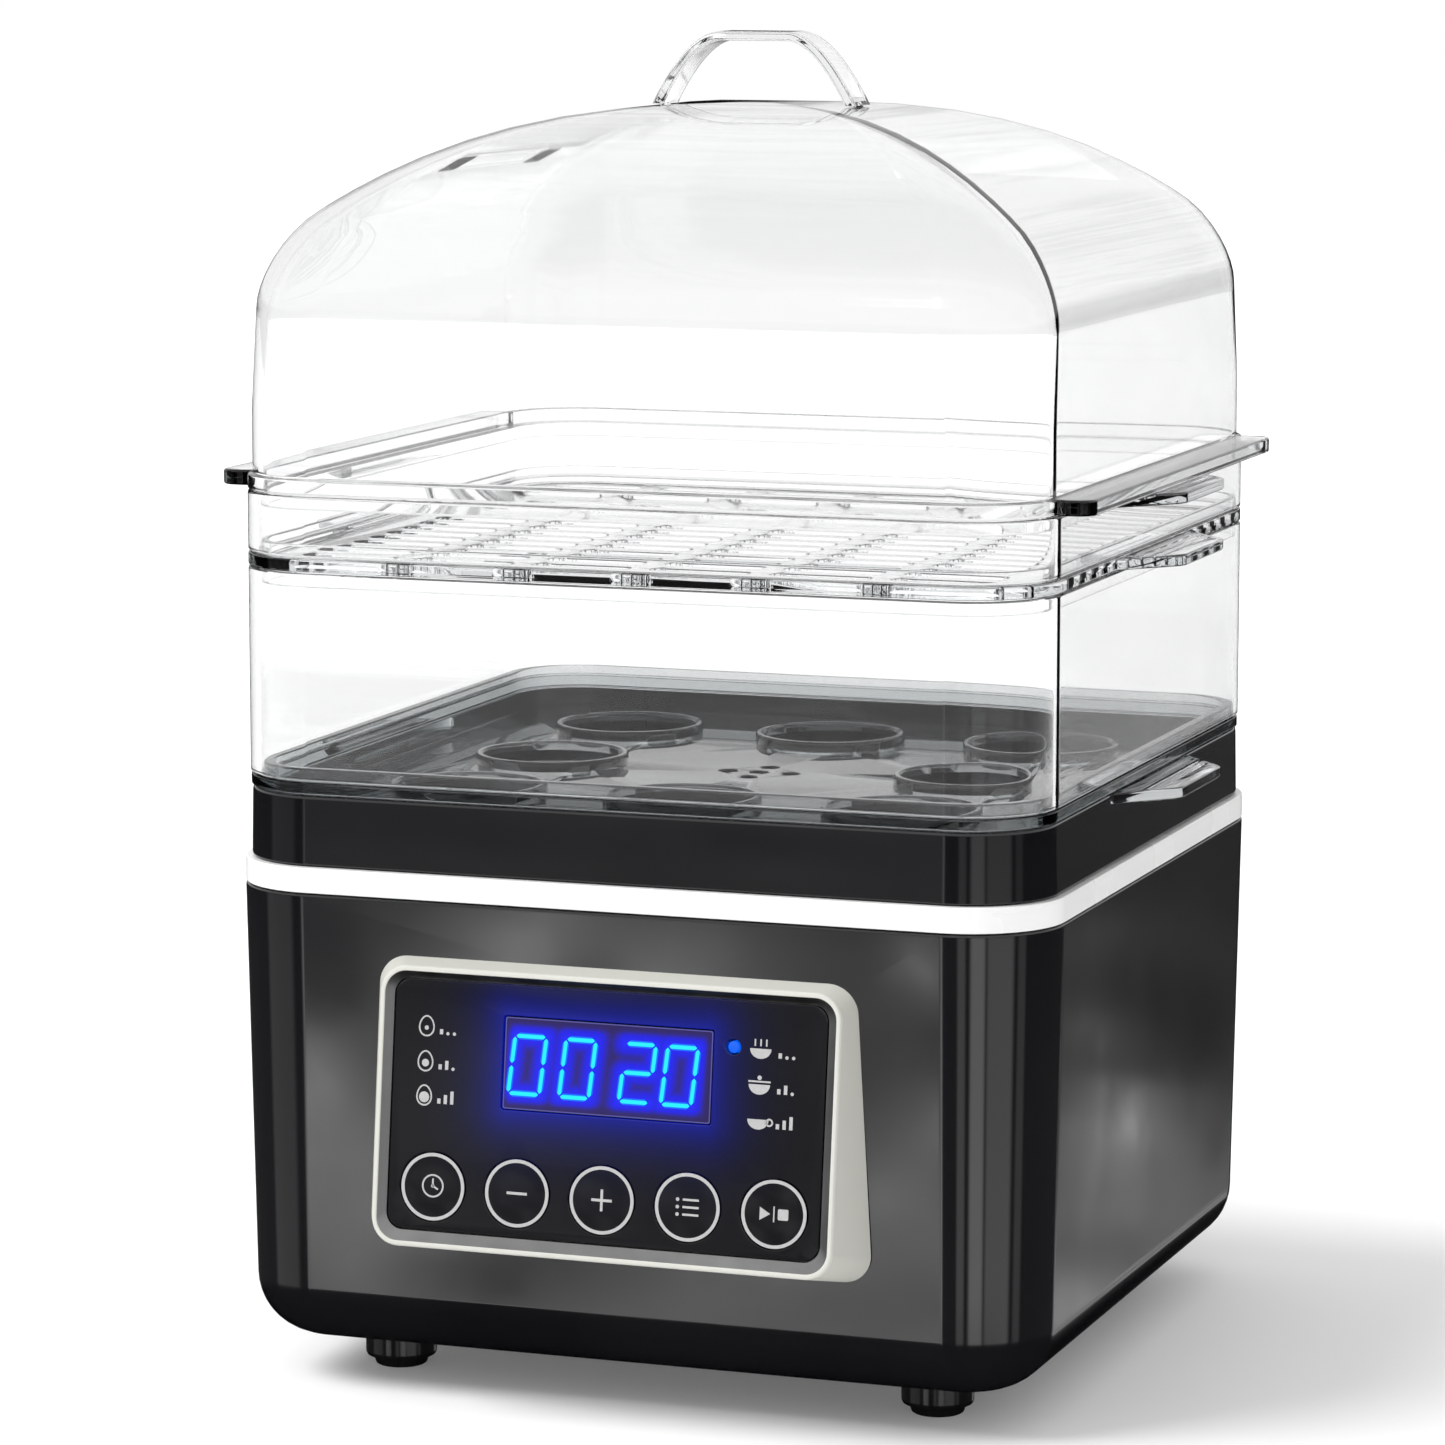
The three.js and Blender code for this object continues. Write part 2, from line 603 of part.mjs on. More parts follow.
// ---- clear tiers -------------------------------------------------------------------------------
// A grip tab on each side: a tapering plate with three shallow grooves across its top.
function gripTabs(top, inner) {
  const tabs = [];
  for (const side of [-1, 1]) {
    const tip = TIER_HALF + TAB_REACH;
    const shape = new THREE.Shape();
    shape.moveTo(inner, -TAB_ROOT);
    shape.lineTo(TIER_HALF, -TAB_ROOT);
    shape.lineTo(tip, -TAB_TIP);
    shape.lineTo(tip, TAB_TIP);
    shape.lineTo(TIER_HALF, TAB_ROOT);
    shape.lineTo(inner, TAB_ROOT);
    const plate = new THREE.ExtrudeGeometry(shape, { depth: TAB_THICK, bevelEnabled: false });
    if (side < 0) plate.rotateZ(Math.PI);
    let tab = solid(plate.translate(0, 0, top - TAB_THICK));
    for (const offset of [3, 6, 9]) {
      tab = tab.subtract(box(1.2, 2 * TAB_TIP - 2, 1.6, [side * (TIER_HALF + offset), 0, top]));
    }
    tabs.push(tab);
  }
  return tabs;
}

const SEATS = [];
for (let column = -1; column <= 1; column += 1) {
  for (let row = -1; row <= 1; row += 1) {
    if (column !== 0 || row !== 0) SEATS.push([column * SEAT_PITCH, row * SEAT_PITCH]);
  }
}

const EGG_FLOOR = 134.6;
const EGG_FLOOR_THICK = 2.4;

function eggTray() {
  const rimLow = COLLAR_TOP + GAP / 2;
  const rimHigh = EGG_TRAY_TOP - GAP / 2;
  const dish = block(WELL_HALF - 0.4, EGG_FLOOR, rimLow + 1);
  const rim = block(COLLAR_HALF, rimLow, rimHigh);
  const lip = block(LIP_HALF, rimLow, rimHigh + LIP_HIGH);
  const recess = block(LIP_HALF - LIP_WALL - 1, EGG_FLOOR + EGG_FLOOR_THICK, rimHigh + LIP_HIGH + 1);
  const seatRings = SEATS.map(([x, y]) =>
    disc(SEAT_R + 1.8, EGG_FLOOR, EGG_FLOOR + EGG_FLOOR_THICK + 2.4, 16, x, y));
  const seatHoles = SEATS.map(([x, y]) => disc(SEAT_R, EGG_FLOOR - 2, EGG_FLOOR + 8, 16, x, y));
  const steamHoles = [[0, 0], [8, 0], [-8, 0], [0, 8], [0, -8]].map(([x, y]) =>
    disc(2.4, EGG_FLOOR - 2, EGG_FLOOR + 8, 6, x, y));
  const hollow = joined([dish, rim, lip]).subtract(recess);
  const tabs = gripTabs(COLLAR_TOP - GAP / 2, WELL_HALF - 2);
  return cutFrom(joined([hollow, ...seatRings, ...tabs]), [...seatHoles, ...steamHoles]);
}

function tierWall(low, high) {
  return block(TIER_HALF, low + GAP / 2, high - GAP / 2)
    .subtract(loft([square(TIER_HALF - TIER_WALL, low - 1), square(TIER_HALF - TIER_WALL + 0.2, high + 1)]));
}

function lowerTier() {
  return tierWall(EGG_TRAY_TOP, LOWER_TIER_TOP);
}

const STEAM_FLOOR_THICK = 2.2;

function steamTray() {
  const low = LOWER_TIER_TOP + GAP / 2;
  const high = STEAM_TRAY_TOP - GAP / 2;
  const frame = block(TIER_HALF, low, high);
  const lip = block(LIP_HALF, low, high + LIP_HIGH);
  const lipInside = block(LIP_HALF - LIP_WALL, low + STEAM_FLOOR_THICK, high + LIP_HIGH + 1);
  const skirt = block(LIP_HALF, low - LIP_HIGH - 0.8, low + 1)
    .subtract(block(LIP_HALF - LIP_WALL, low - 8, low));
  const body = joined([frame, lip]).subtract(lipInside);
  const slots = [];
  for (let column = 0; column < SLOT_COLUMNS; column += 1) {
    for (let row = 0; row < SLOT_ROWS; row += 1) {
      const x = (column - (SLOT_COLUMNS - 1) / 2) * SLOT_PITCH_X;
      const y = (row - (SLOT_ROWS - 1) / 2) * SLOT_PITCH_Y;
      slots.push(box(SLOT_LONG, SLOT_WIDE, 12, [x, y, low]));
    }
  }
  return cutFrom(joined([body, skirt, ...gripTabs(high - 0.4, LIP_HALF)]), slots);
}

function upperRing() {
  const wall = tierWall(STEAM_TRAY_TOP, UPPER_RING_TOP);
  return joined([wall, ...gripTabs(UPPER_RING_TOP - GAP, TIER_HALF - 1)]);
}

// ---- lid -----------------------------------------------------------------------------------------
// Roof height at a half width, with the shoulder's round taken off its outer end.
function roofHeight(half) {
  const curve = ROOF_TOP - ROOF_DROP * (half / SHOULDER_HALF) ** ROOF_POWER;
  const past = Math.max(0, half - (SHOULDER_HALF - SHOULDER_ROUND));
  return curve - (SHOULDER_ROUND - Math.sqrt(Math.max(0, SHOULDER_ROUND ** 2 - past ** 2)));
}

function lidForm(inset, low, drop) {
  const outlines = [square(LID_HALF - inset, low, CORNER - 0.6 - inset)];
  const halves = [SHOULDER_HALF, 96, 92.5, 87, 78, 66, 50, 32, 12];
  for (const half of halves) {
    const corner = Math.max(0.5, 22.5 * (half / SHOULDER_HALF) ** 1.65 - inset);
    const scaled = half * ((SHOULDER_HALF - inset) / SHOULDER_HALF);
    outlines.push(square(scaled, roofHeight(half) - drop, Math.min(corner, scaled - 0.5)));
  }
  return loft(outlines);
}

function lid() {
  const flangeLow = UPPER_RING_TOP + GAP / 2;
  const flange = block(TIER_HALF, flangeLow, FLANGE_TOP);
  const wings = loft([
    outline(WING_HALF, WING_LONG, 6, flangeLow),
    outline(WING_HALF, WING_LONG, 6, FLANGE_TOP),
  ]);
  const skirt = block(LIP_HALF, flangeLow - 3.6, flangeLow + 1);
  const inside = lidForm(LID_WALL, flangeLow - 1, LID_WALL);
  const skirtInside = block(LIP_HALF - LIP_WALL, flangeLow - 6, flangeLow + 1);
  const vents = [-1, 1].map((side) =>
    box(...VENT_SIZE, 24, [VENT_X, side * VENT_Y, roofHeight(-VENT_X)]));
  const pegHoles = [-1, 1].map((side) => disc(PEG_R + GAP, 280, 320, 12, side * PEG_X, 0));
  const whole = joined([lidForm(0, flangeLow, 0), flange, wings, skirt]);
  return cutFrom(whole, [inside, skirtInside, ...vents, ...pegHoles]);
}

// An arched strap with a flat crown, and a peg under each end that passes through the roof.
function lidHandle() {
  const seat = roofHeight(PEG_X) + GAP;
  const crown = HANDLE_TOP;
  const under = crown - HANDLE_THICK;
  const bend = HANDLE_OUTER - 8.8; // the curves' control points, outside and inside the strap
  const inner = HANDLE_OUTER - 1.3 * HANDLE_THICK;
  const innerFlat = HANDLE_FLAT - 0.8;
  const innerBend = bend - 0.7 * HANDLE_THICK;
  const shape = new THREE.Shape();
  shape.moveTo(HANDLE_OUTER, seat);
  shape.quadraticCurveTo(bend, crown - 0.5, HANDLE_FLAT, crown);
  shape.lineTo(-HANDLE_FLAT, crown);
  shape.quadraticCurveTo(-bend, crown - 0.5, -HANDLE_OUTER, seat);
  shape.lineTo(-inner, seat);
  shape.quadraticCurveTo(-innerBend, under - 0.5, -innerFlat, under);
  shape.lineTo(innerFlat, under);
  shape.quadraticCurveTo(innerBend, under - 0.5, inner, seat);
  const settings = { depth: HANDLE_WIDE, bevelEnabled: false, curveSegments: 6 };
  const strap = new THREE.ExtrudeGeometry(shape, settings).translate(0, 0, -HANDLE_WIDE / 2);
  const arch = solid(strap.rotateX(Math.PI / 2));
  const pegs = [-1, 1].map((side) => disc(PEG_R, seat - 5, seat + 1, 12, side * PEG_X, 0));
  return joined([arch, ...pegs]);
}

place('egg_tray', eggTray(), CLEAR);
place('lower_tier', lowerTier(), CLEAR);
place('steam_tray', steamTray(), CLEAR);
place('upper_ring', upperRing(), CLEAR);
place('lid', lid(), CLEAR);
place('lid_handle', lidHandle(), CLEAR);

export default cooker;
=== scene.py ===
"""The egg cooker's looks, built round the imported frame: smooth shells, clear tiers, lit panel.

Lengths in the code are millimetres and become metres in from_bmesh. Pieces stand on the CAD's own places.
"""
import math

import bmesh
import bpy
from mathutils import Matrix, Vector


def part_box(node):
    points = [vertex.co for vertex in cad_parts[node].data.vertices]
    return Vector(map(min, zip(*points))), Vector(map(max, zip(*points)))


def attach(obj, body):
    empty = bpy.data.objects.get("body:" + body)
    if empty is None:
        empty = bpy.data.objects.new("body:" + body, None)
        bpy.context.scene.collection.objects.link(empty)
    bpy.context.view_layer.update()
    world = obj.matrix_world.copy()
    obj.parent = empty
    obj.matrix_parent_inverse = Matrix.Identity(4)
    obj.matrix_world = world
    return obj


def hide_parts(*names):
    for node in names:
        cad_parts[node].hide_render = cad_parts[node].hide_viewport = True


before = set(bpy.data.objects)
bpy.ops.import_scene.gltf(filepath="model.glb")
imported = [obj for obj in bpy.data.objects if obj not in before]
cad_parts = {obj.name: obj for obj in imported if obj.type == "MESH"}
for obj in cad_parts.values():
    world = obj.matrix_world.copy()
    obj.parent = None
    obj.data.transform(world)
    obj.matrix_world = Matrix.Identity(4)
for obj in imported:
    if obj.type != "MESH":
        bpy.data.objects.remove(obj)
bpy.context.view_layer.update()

MM = 0.001


def box_mm(node):
    """A CAD node's lowest and highest corner, in millimetres."""
    low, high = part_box(node)
    return low / MM, high / MM


# ---- places and sizes read from the frame --------------------
BASE_LOW, BASE_HIGH = box_mm("base_housing")
CENTRE_Y = (BASE_LOW.y + BASE_HIGH.y) / 2
HALF = (BASE_HIGH.x - BASE_LOW.x) / 2
CORNER = 22.75
BASE_ROUND = 14.5
BASE_FOOT_HALF = HALF - 1.77
BASE_WALL = 2.6
PLAN_STEPS = 14
EDGE_STEPS = 3


# ---- camera and stage --------------------
WHITE = (1.0, 1.0, 1.0, 1.0)
CAMERA_AZIMUTH = math.radians(19.69)
CAMERA_ELEVATION = math.radians(8.28)
CAMERA_DISTANCE = 1.41497
CAMERA_LENS = 144.64
CAMERA_TARGET = Vector((-0.00979, CENTRE_Y * MM, 0.1485))


def make_camera():
    data = bpy.data.cameras.new("camera")
    data.lens = CAMERA_LENS
    data.sensor_width = 36.0
    data.clip_end = 20.0
    camera = bpy.data.objects.new("camera", data)
    bpy.context.scene.collection.objects.link(camera)
    back = Vector((math.sin(CAMERA_AZIMUTH) * math.cos(CAMERA_ELEVATION),
        -math.cos(CAMERA_AZIMUTH) * math.cos(CAMERA_ELEVATION), math.sin(CAMERA_ELEVATION)))
    camera.location = CAMERA_TARGET + back * CAMERA_DISTANCE
    camera.rotation_mode = "QUATERNION"
    camera.rotation_quaternion = (-back).to_track_quat("-Z", "Y")
    bpy.context.scene.camera = camera


def fix(node, **values):
    """Sets fixed values on a node's own sockets, whose names have _ for each space."""
    for socket, value in values.items():
        node.inputs[socket.replace("_", " ")].default_value = value
    return node


class Nodes:
    """Short calls for building a node tree."""

    def __init__(self, tree):
        self.tree = tree

    def add(self, kind, **settings):
        node = self.tree.nodes.new(kind)
        for name, value in settings.items():
            setattr(node, name, value)
        return node

    def link(self, out, into):
        self.tree.links.new(out, into)

    def math(self, operation, first, second=None, clamp=False):
        node = self.add("ShaderNodeMath", operation=operation, use_clamp=clamp)
        for index, value in enumerate((first, second)):
            if value is None:
                continue
            if isinstance(value, (int, float)):
                node.inputs[index].default_value = value
            else:
                self.link(value, node.inputs[index])
        return node.outputs[0]

    def ramp(self, value, stops, interpolation="EASE"):
        node = self.add("ShaderNodeValToRGB")
        node.color_ramp.interpolation = interpolation
        elements = node.color_ramp.elements
        while len(elements) < len(stops):
            elements.new(0.5)
        for element, (place, level) in zip(elements, stops):
            element.position = place
            colour = level if isinstance(level, tuple) else (level, level, level)
            element.color = (*colour, 1.0)
        self.link(value, node.inputs["Fac"])
        return node.outputs["Color"]


def window_stops(windows, rest):
    """Ramp stops for soft windows given as (azimuth in degrees, half width, edge, level) on a rest level."""
    stops = [(0.0, rest)]
    for azimuth, half, edge, level in windows:
        for offset, value in ((-half - edge, rest), (-half, level), (half, level), (half + edge, rest)):
            stops.append(((azimuth + offset + 180) / 360, value))
    return stops + [(1.0, rest)]


# Azimuths in degrees, from the front towards +X, of what the gloss black faces and corners mirror.
FACE_WINDOWS = [(-20.7, 4.4, 0.6, 1.0), (164.6, 5.0, 4.0, 0.27)]
CORNER_STRIPES = [(-60, 15, 8, 0.12), (-27.0, 0.8, 0.6, 0.5), (-14.2, 0.9, 0.6, 0.7), (9, 3, 3, 0.2),
    (28, 6, 5, 0.42), (55, 13, 6, 0.26), (82, 3, 4, 0.12)]
FACE_BANDS = [(0.0, 0.01), (0.19, 0.01), (0.206, 0.5), (0.222, 0.95), (0.243, 1.0), (0.256, 0.6),
    (0.268, 0.12), (0.31, 0.03), (0.34, 0.09), (0.50, 0.12), (1.0, 0.3)]
CORNER_BANDS = [(0.0, 0.01), (0.13, 0.02), (0.19, 0.3), (0.22, 0.9), (0.27, 0.75), (0.36, 0.35), (0.5, 0.1),
    (1.0, 0.3)]
EDGE_LINE = [(0.0, 0.0), (0.201, 0.0), (0.206, 0.6), (0.212, 0.6), (0.217, 0.0), (1.0, 0.0)]
MIRRORED_LIGHT = 4.6
CLOUD_DRIFT = 0.12
DIFFUSE_DIM = 0.25     # how much less of the white world matt surfaces get
CLOUDS_ACROSS_FRONT, CLOUDS_ACROSS_SIDE, CLOUDS_UP = 18.0, 75.0, 34.0


def make_world():
    """White to the eye and to the light; mirrors see a cloudy studio with soft vertical stripes."""
    world = bpy.data.worlds.new("studio")
    bpy.context.scene.world = world
    world.use_nodes = True
    world.node_tree.nodes.clear()
    n = Nodes(world.node_tree)
    split = n.add("ShaderNodeSeparateXYZ")
    n.link(n.add("ShaderNodeTexCoord").outputs["Generated"], split.inputs[0])
    x, y, z = split.outputs
    turn = n.math("ARCTAN2", x, n.math("MULTIPLY", y, -1.0))
    share = n.math("ADD", n.math("DIVIDE", turn, 2 * math.pi), 0.5)
    side = n.math("MULTIPLY", n.math("GREATER_THAN", turn, math.pi / 2),
        CLOUDS_ACROSS_SIDE - CLOUDS_ACROSS_FRONT)
    across = n.math("MULTIPLY", turn, n.math("ADD", side, CLOUDS_ACROSS_FRONT))
    place = n.add("ShaderNodeCombineXYZ")
    n.link(across, place.inputs["X"])
    n.link(n.math("MULTIPLY", z, CLOUDS_UP), place.inputs["Y"])
    cloud = fix(n.add("ShaderNodeTexNoise"), Scale=1.0, Detail=3.0, Roughness=0.5, Distortion=0.8)
    n.link(place.outputs[0], cloud.inputs["Vector"])
    drift = n.math("MULTIPLY", n.math("SUBTRACT", cloud.outputs["Fac"], 0.5), CLOUD_DRIFT * 2)
    still = n.math("ADD", z, 0.5)
    level = n.math("ADD", still, drift)
    windows = n.ramp(share, window_stops(FACE_WINDOWS, 0.0), "LINEAR")
    gaps = n.ramp(cloud.outputs["Fac"], [(0.36, 1.0), (0.6, 0.3)])
    patches = n.math("MULTIPLY", n.ramp(level, FACE_BANDS), gaps)
    faces = n.math("MULTIPLY", windows, n.math("MAXIMUM", patches, n.ramp(still, EDGE_LINE, "LINEAR")))
    stripes = n.ramp(share, window_stops(CORNER_STRIPES, 0.01))
    corners = n.math("MULTIPLY", stripes, n.ramp(still, CORNER_BANDS))
    below = n.math("MULTIPLY", n.math("ADD", faces, corners), MIRRORED_LIGHT)
    haze = n.ramp(cloud.outputs["Fac"], [(0.35, 0.72), (0.6, 1.0)])
    above = n.math("MULTIPLY", haze, n.ramp(z, [(0.0, 0.0), (0.02, 0.0), (0.1, 1.0)]))
    glossy = n.add("ShaderNodeBackground")
    n.link(n.math("MAXIMUM", below, above), glossy.inputs["Color"])
    path = n.add("ShaderNodeLightPath")
    white = fix(n.add("ShaderNodeBackground"), Color=WHITE)
    dim = n.math("MULTIPLY", path.outputs["Is Diffuse Ray"], DIFFUSE_DIM)
    n.link(n.math("SUBTRACT", 1.0, dim), white.inputs["Strength"])
    mirrored = n.math("SUBTRACT", path.outputs["Is Glossy Ray"], path.outputs["Is Transmission Ray"],
        clamp=True)
    mix = n.add("ShaderNodeMixShader")
    n.link(mirrored, mix.inputs["Fac"])
    n.link(white.outputs[0], mix.inputs[1])
    n.link(glossy.outputs[0], mix.inputs[2])
    n.link(mix.outputs[0], n.add("ShaderNodeOutputWorld").inputs["Surface"])


FLOOR_SIZE = 12.0
FLOOR_WHITE = (0.93, 0.93, 0.93, 1.0)
FLOOR_LIFT = 0.12     # keeps the floor pale in the shadow
SUN_ANGLE = math.radians(32)
SUN_ENERGY = 2.3
SUN_WAY = Vector((0.75, 0.45, -1.0))


def make_floor():
    bpy.ops.mesh.primitive_plane_add(size=FLOOR_SIZE)
    floor = bpy.context.object
    floor.name = "floor"
    material = bpy.data.materials.new("floor_white")
    material.use_nodes = True
    shader = material.node_tree.nodes["Principled BSDF"]
    fix(shader, Base_Color=FLOOR_WHITE, Roughness=0.6, Specular_IOR_Level=0.1, Emission_Color=WHITE,
        Emission_Strength=FLOOR_LIFT)
    floor.data.materials.append(material)
    floor.visible_glossy = False


def make_sun():
    """A soft key from the front left, so that the shadow falls to the back right."""
    data = bpy.data.lights.new("key_light", "SUN")
    data.angle = SUN_ANGLE
    data.energy = SUN_ENERGY
    sun = bpy.data.objects.new("key_light", data)
    bpy.context.scene.collection.objects.link(sun)
    sun.rotation_mode = "QUATERNION"
    sun.rotation_quaternion = SUN_WAY.to_track_quat("-Z", "Y")
    sun.visible_glossy = False
    sun.visible_transmission = False


def make_stage():
    make_world()
    make_floor()
    make_sun()
    bpy.context.scene.view_settings.view_transform = "Standard"


# ---- materials --------------------
# Painted shade: the base colour of clear walls turns grey where they are seen edge-on.
GRAZING_PAINTED_SHADE = [(0.0, (0.99, 0.99, 0.99)), (0.8, (0.97, 0.975, 0.975)), (0.93, (0.72, 0.73, 0.74)),
    (1.0, (0.25, 0.26, 0.27))]
TRAPPED_DEPTH, TRAPPED_LIGHT = 10.5, 0.55     # light given back to rays that bounce on in a clear wall


def principled(name, colour, roughness, **inputs):
    """A material with one Principled shader whose fixed values sit on its own sockets."""
    material = bpy.data.materials.new(name)
    material.use_nodes = True
    shader = material.node_tree.nodes["Principled BSDF"]
    fix(shader, Base_Color=(*colour, 1.0), Roughness=roughness, **inputs)
    return material, shader, Nodes(material.node_tree)


def noise(n, scale, detail=3.0):
    texture = fix(n.add("ShaderNodeTexNoise"), Scale=scale, Detail=detail)
    n.link(n.add("ShaderNodeTexCoord").outputs["Object"], texture.inputs["Vector"])
    return texture.outputs["Fac"]


def vary_roughness(n, shader, value, low, high):
    span = fix(n.add("ShaderNodeMapRange"), From_Min=0.3, From_Max=0.7, To_Min=low, To_Max=high)
    n.link(value, span.inputs["Value"])
    n.link(span.outputs["Result"], shader.inputs["Roughness"])


def vary_colour(n, shader, value, dark, light):
    n.link(n.ramp(value, [(0.3, dark), (0.7, light)], "LINEAR"), shader.inputs["Base Color"])


def add_bump(n, shader, value, strength, distance):
    bump = fix(n.add("ShaderNodeBump"), Strength=strength, Distance=distance)
    n.link(value, bump.inputs["Height"])
    n.link(bump.outputs["Normal"], shader.inputs["Normal"])


def surface(name, colour, roughness, tones=None, sheen=None, bump=None, **inputs):
    """A material with noise in its colour (scale, dark, light), its roughness (scale, low, high) and its
    relief (scale, detail, strength, distance)."""
    material, shader, n = principled(name, colour, roughness, **inputs)
    if tones:
        vary_colour(n, shader, noise(n, tones[0]), *tones[1:])
    if sheen:
        vary_roughness(n, shader, noise(n, sheen[0]), *sheen[1:])
    if bump:
        add_bump(n, shader, noise(n, *bump[:2]), *bump[2:])
    return material


def shade(colour, share):
    return tuple(c * share for c in colour)


def gloss_black():
    dark, light = (0.004, 0.004, 0.005), (0.008, 0.008, 0.009)
    return surface("gloss_black", (0.006, 0.006, 0.007), 0.08, (9, dark, light), (24, 0.05, 0.1),
        (16, 1.0, 0.12, 0.00012), IOR=1.62)


def dark_matte(name, colour, roughness=0.5):
    return surface(name, colour, roughness, (60, shade(colour, 0.8), shade(colour, 1.2)),
        (90, roughness * 0.85, roughness * 1.2), (2600, 2.0, 0.25, 0.00004))


def coated_black():
    """Non-stick coating: smooth, with a satin sheen."""
    dark, light = (0.009, 0.009, 0.01), (0.016, 0.016, 0.017)
    return surface("coated_plate", (0.012, 0.012, 0.013), 0.3, (30, dark, light), (50, 0.28, 0.4))


def moulded(name, colour, roughness, grain=0.12):
    """Light moulded plastic with a faint grain and a slight unevenness of colour."""
    return surface(name, colour, roughness, (14, shade(colour, 0.97), colour),
        (40, roughness - 0.04, roughness + 0.06), (1500, 2.0, grain, 0.00003))


def clear_plastic(name, density, index):
    """Clear moulding: walls seen square on stay almost unseen, and edges seen along the wall are painted grey
    in the base colour, a painted shade.
    """
    material, shader, n = principled(name, (0.985, 0.99, 0.99), 0.02, Transmission_Weight=1.0, IOR=index)
    slant = fix(n.add("ShaderNodeLayerWeight"), Blend=0.5)
    n.link(n.ramp(slant.outputs["Facing"], GRAZING_PAINTED_SHADE, "LINEAR"), shader.inputs["Base Color"])
    vary_roughness(n, shader, noise(n, 30), 0.0, 0.03)
    add_bump(n, shader, noise(n, 22, 1.0), 0.15, 0.00015)
    depth = n.add("ShaderNodeLightPath").outputs["Ray Depth"]
    trapped = n.math("MULTIPLY", n.math("GREATER_THAN", depth, TRAPPED_DEPTH), TRAPPED_LIGHT)
    n.link(trapped, shader.inputs["Emission Strength"])
    fix(shader, Emission_Color=WHITE)
    material.cycles.emission_sampling = "NONE"
    absorb = fix(n.add("ShaderNodeVolumeAbsorption"), Color=(0.42, 0.45, 0.46, 1.0), Density=density)
    output = material.node_tree.nodes["Material Output"]
    n.link(absorb.outputs["Volume"], output.inputs["Volume"])
    return material


def metal(name, colour, roughness):
    material, shader, n = principled(name, colour, roughness, Metallic=1.0)
    vary_colour(n, shader, noise(n, 50), shade(colour, 0.85), colour)
    vary_roughness(n, shader, noise(n, 160, 4.0), roughness - 0.08, roughness + 0.1)
    return material


def circuit_board():
    material, shader, n = principled("circuit_board", (0.02, 0.16, 0.06), 0.35)
    tracks = fix(n.add("ShaderNodeTexBrick"), Scale=260.0, Color1=(0.015, 0.13, 0.05, 1.0),
        Color2=(0.02, 0.15, 0.06, 1.0), Mortar=(0.05, 0.26, 0.12, 1.0))
    n.link(n.add("ShaderNodeTexCoord").outputs["Object"], tracks.inputs["Vector"])
    n.link(tracks.outputs["Color"], shader.inputs["Base Color"])
    vary_roughness(n, shader, noise(n, 80), 0.28, 0.45)
    return material


def lit(name, colour, strength):
    return surface(name, (0.0, 0.02, 0.05), 0.3, None, (300, 0.25, 0.4), Emission_Strength=strength,
        Emission_Color=(*colour, 1.0))


def printed(name, colour):
    return surface(name, colour, 0.45, (900, shade(colour, 0.9), colour))


GLOSS_BLACK = gloss_black()
WHITE_GLOSS = moulded("white_gloss", (0.93, 0.93, 0.925), 0.25, 0.05)
BEZEL_GREY = moulded("bezel_grey", (0.6, 0.6, 0.55), 0.42)
BEZEL_RIM = moulded("bezel_rim", (0.66, 0.66, 0.61), 0.3, 0.06)
BEZEL_BAND = metal("bezel_band", (0.32, 0.32, 0.32), 0.4)
CLEAR = clear_plastic("clear_plastic", 16.0, 1.48)
SMOKY = clear_plastic("smoky_plastic", 280.0, 1.3)
SCREW_STEEL = metal("screw_steel", (0.62, 0.62, 0.64), 0.3)
ALUMINIUM = metal("cast_aluminium", (0.75, 0.75, 0.76), 0.42)
COPPER = metal("plated_copper", (0.8, 0.5, 0.3), 0.3)
RUBBER = dark_matte("soft_rubber", (0.012, 0.012, 0.012))
FOOT_BLACK = dark_matte("foot_black", (0.01, 0.01, 0.01), 0.14)
PLATE_BLACK = coated_black()
SILICONE = moulded("silicone", (0.75, 0.73, 0.68), 0.55)
DARK_PLASTIC = dark_matte("dark_plastic", (0.02, 0.02, 0.022))
BLUE_PLASTIC = moulded("blue_plastic", (0.03, 0.12, 0.42), 0.45)
BOARD_GREEN = circuit_board()
PRINT_GREY = printed("print_grey", (0.5, 0.5, 0.5))
DIGIT_BLUE = lit("digit_blue", (0.01, 0.72, 1.0), 1.2)
EDGE_BLUE = lit("edge_blue", (0.0, 0.1, 1.0), 1.3)
LED_BLUE = lit("led_blue", (0.0, 0.12, 1.0), 0.9)
# Painted highlight: a light purple line that glows round the display window's edge.
WINDOW_EDGE_HIGHLIGHT = lit("painted_edge_highlight", (0.16, 0.12, 0.5), 0.6)


# ---- mesh helpers --------------------
SHARP_ANGLE = math.radians(32)


def finish_mesh(piece):
    """Smooth shading with flat faces kept flat by area-weighted normals."""
    mesh = piece.data
    mesh.polygons.foreach_set("use_smooth", [True] * len(mesh.polygons))
    mesh.set_sharp_from_angle(angle=SHARP_ANGLE)
    weighted = piece.modifiers.new("weighted_normals", "WEIGHTED_NORMAL")
    weighted.keep_sharp = True
    weighted.weight = 100
    return piece


def from_bmesh(name, bm, materials):
    """An object in metres from a closed mesh in millimetres, with its faces pointing out."""
    bmesh.ops.recalc_face_normals(bm, faces=bm.faces)
    if bm.calc_volume(signed=True) < 0:
        bmesh.ops.reverse_faces(bm, faces=bm.faces)
    bmesh.ops.scale(bm, vec=(MM, MM, MM), verts=bm.verts)
    mesh = bpy.data.meshes.new(name)
    bm.to_mesh(mesh)
    bm.free()
    piece = bpy.data.objects.new(name, mesh)
    bpy.context.scene.collection.objects.link(piece)
    for material in materials if isinstance(materials, (list, tuple)) else [materials]:
        mesh.materials.append(material)
    return finish_mesh(piece)


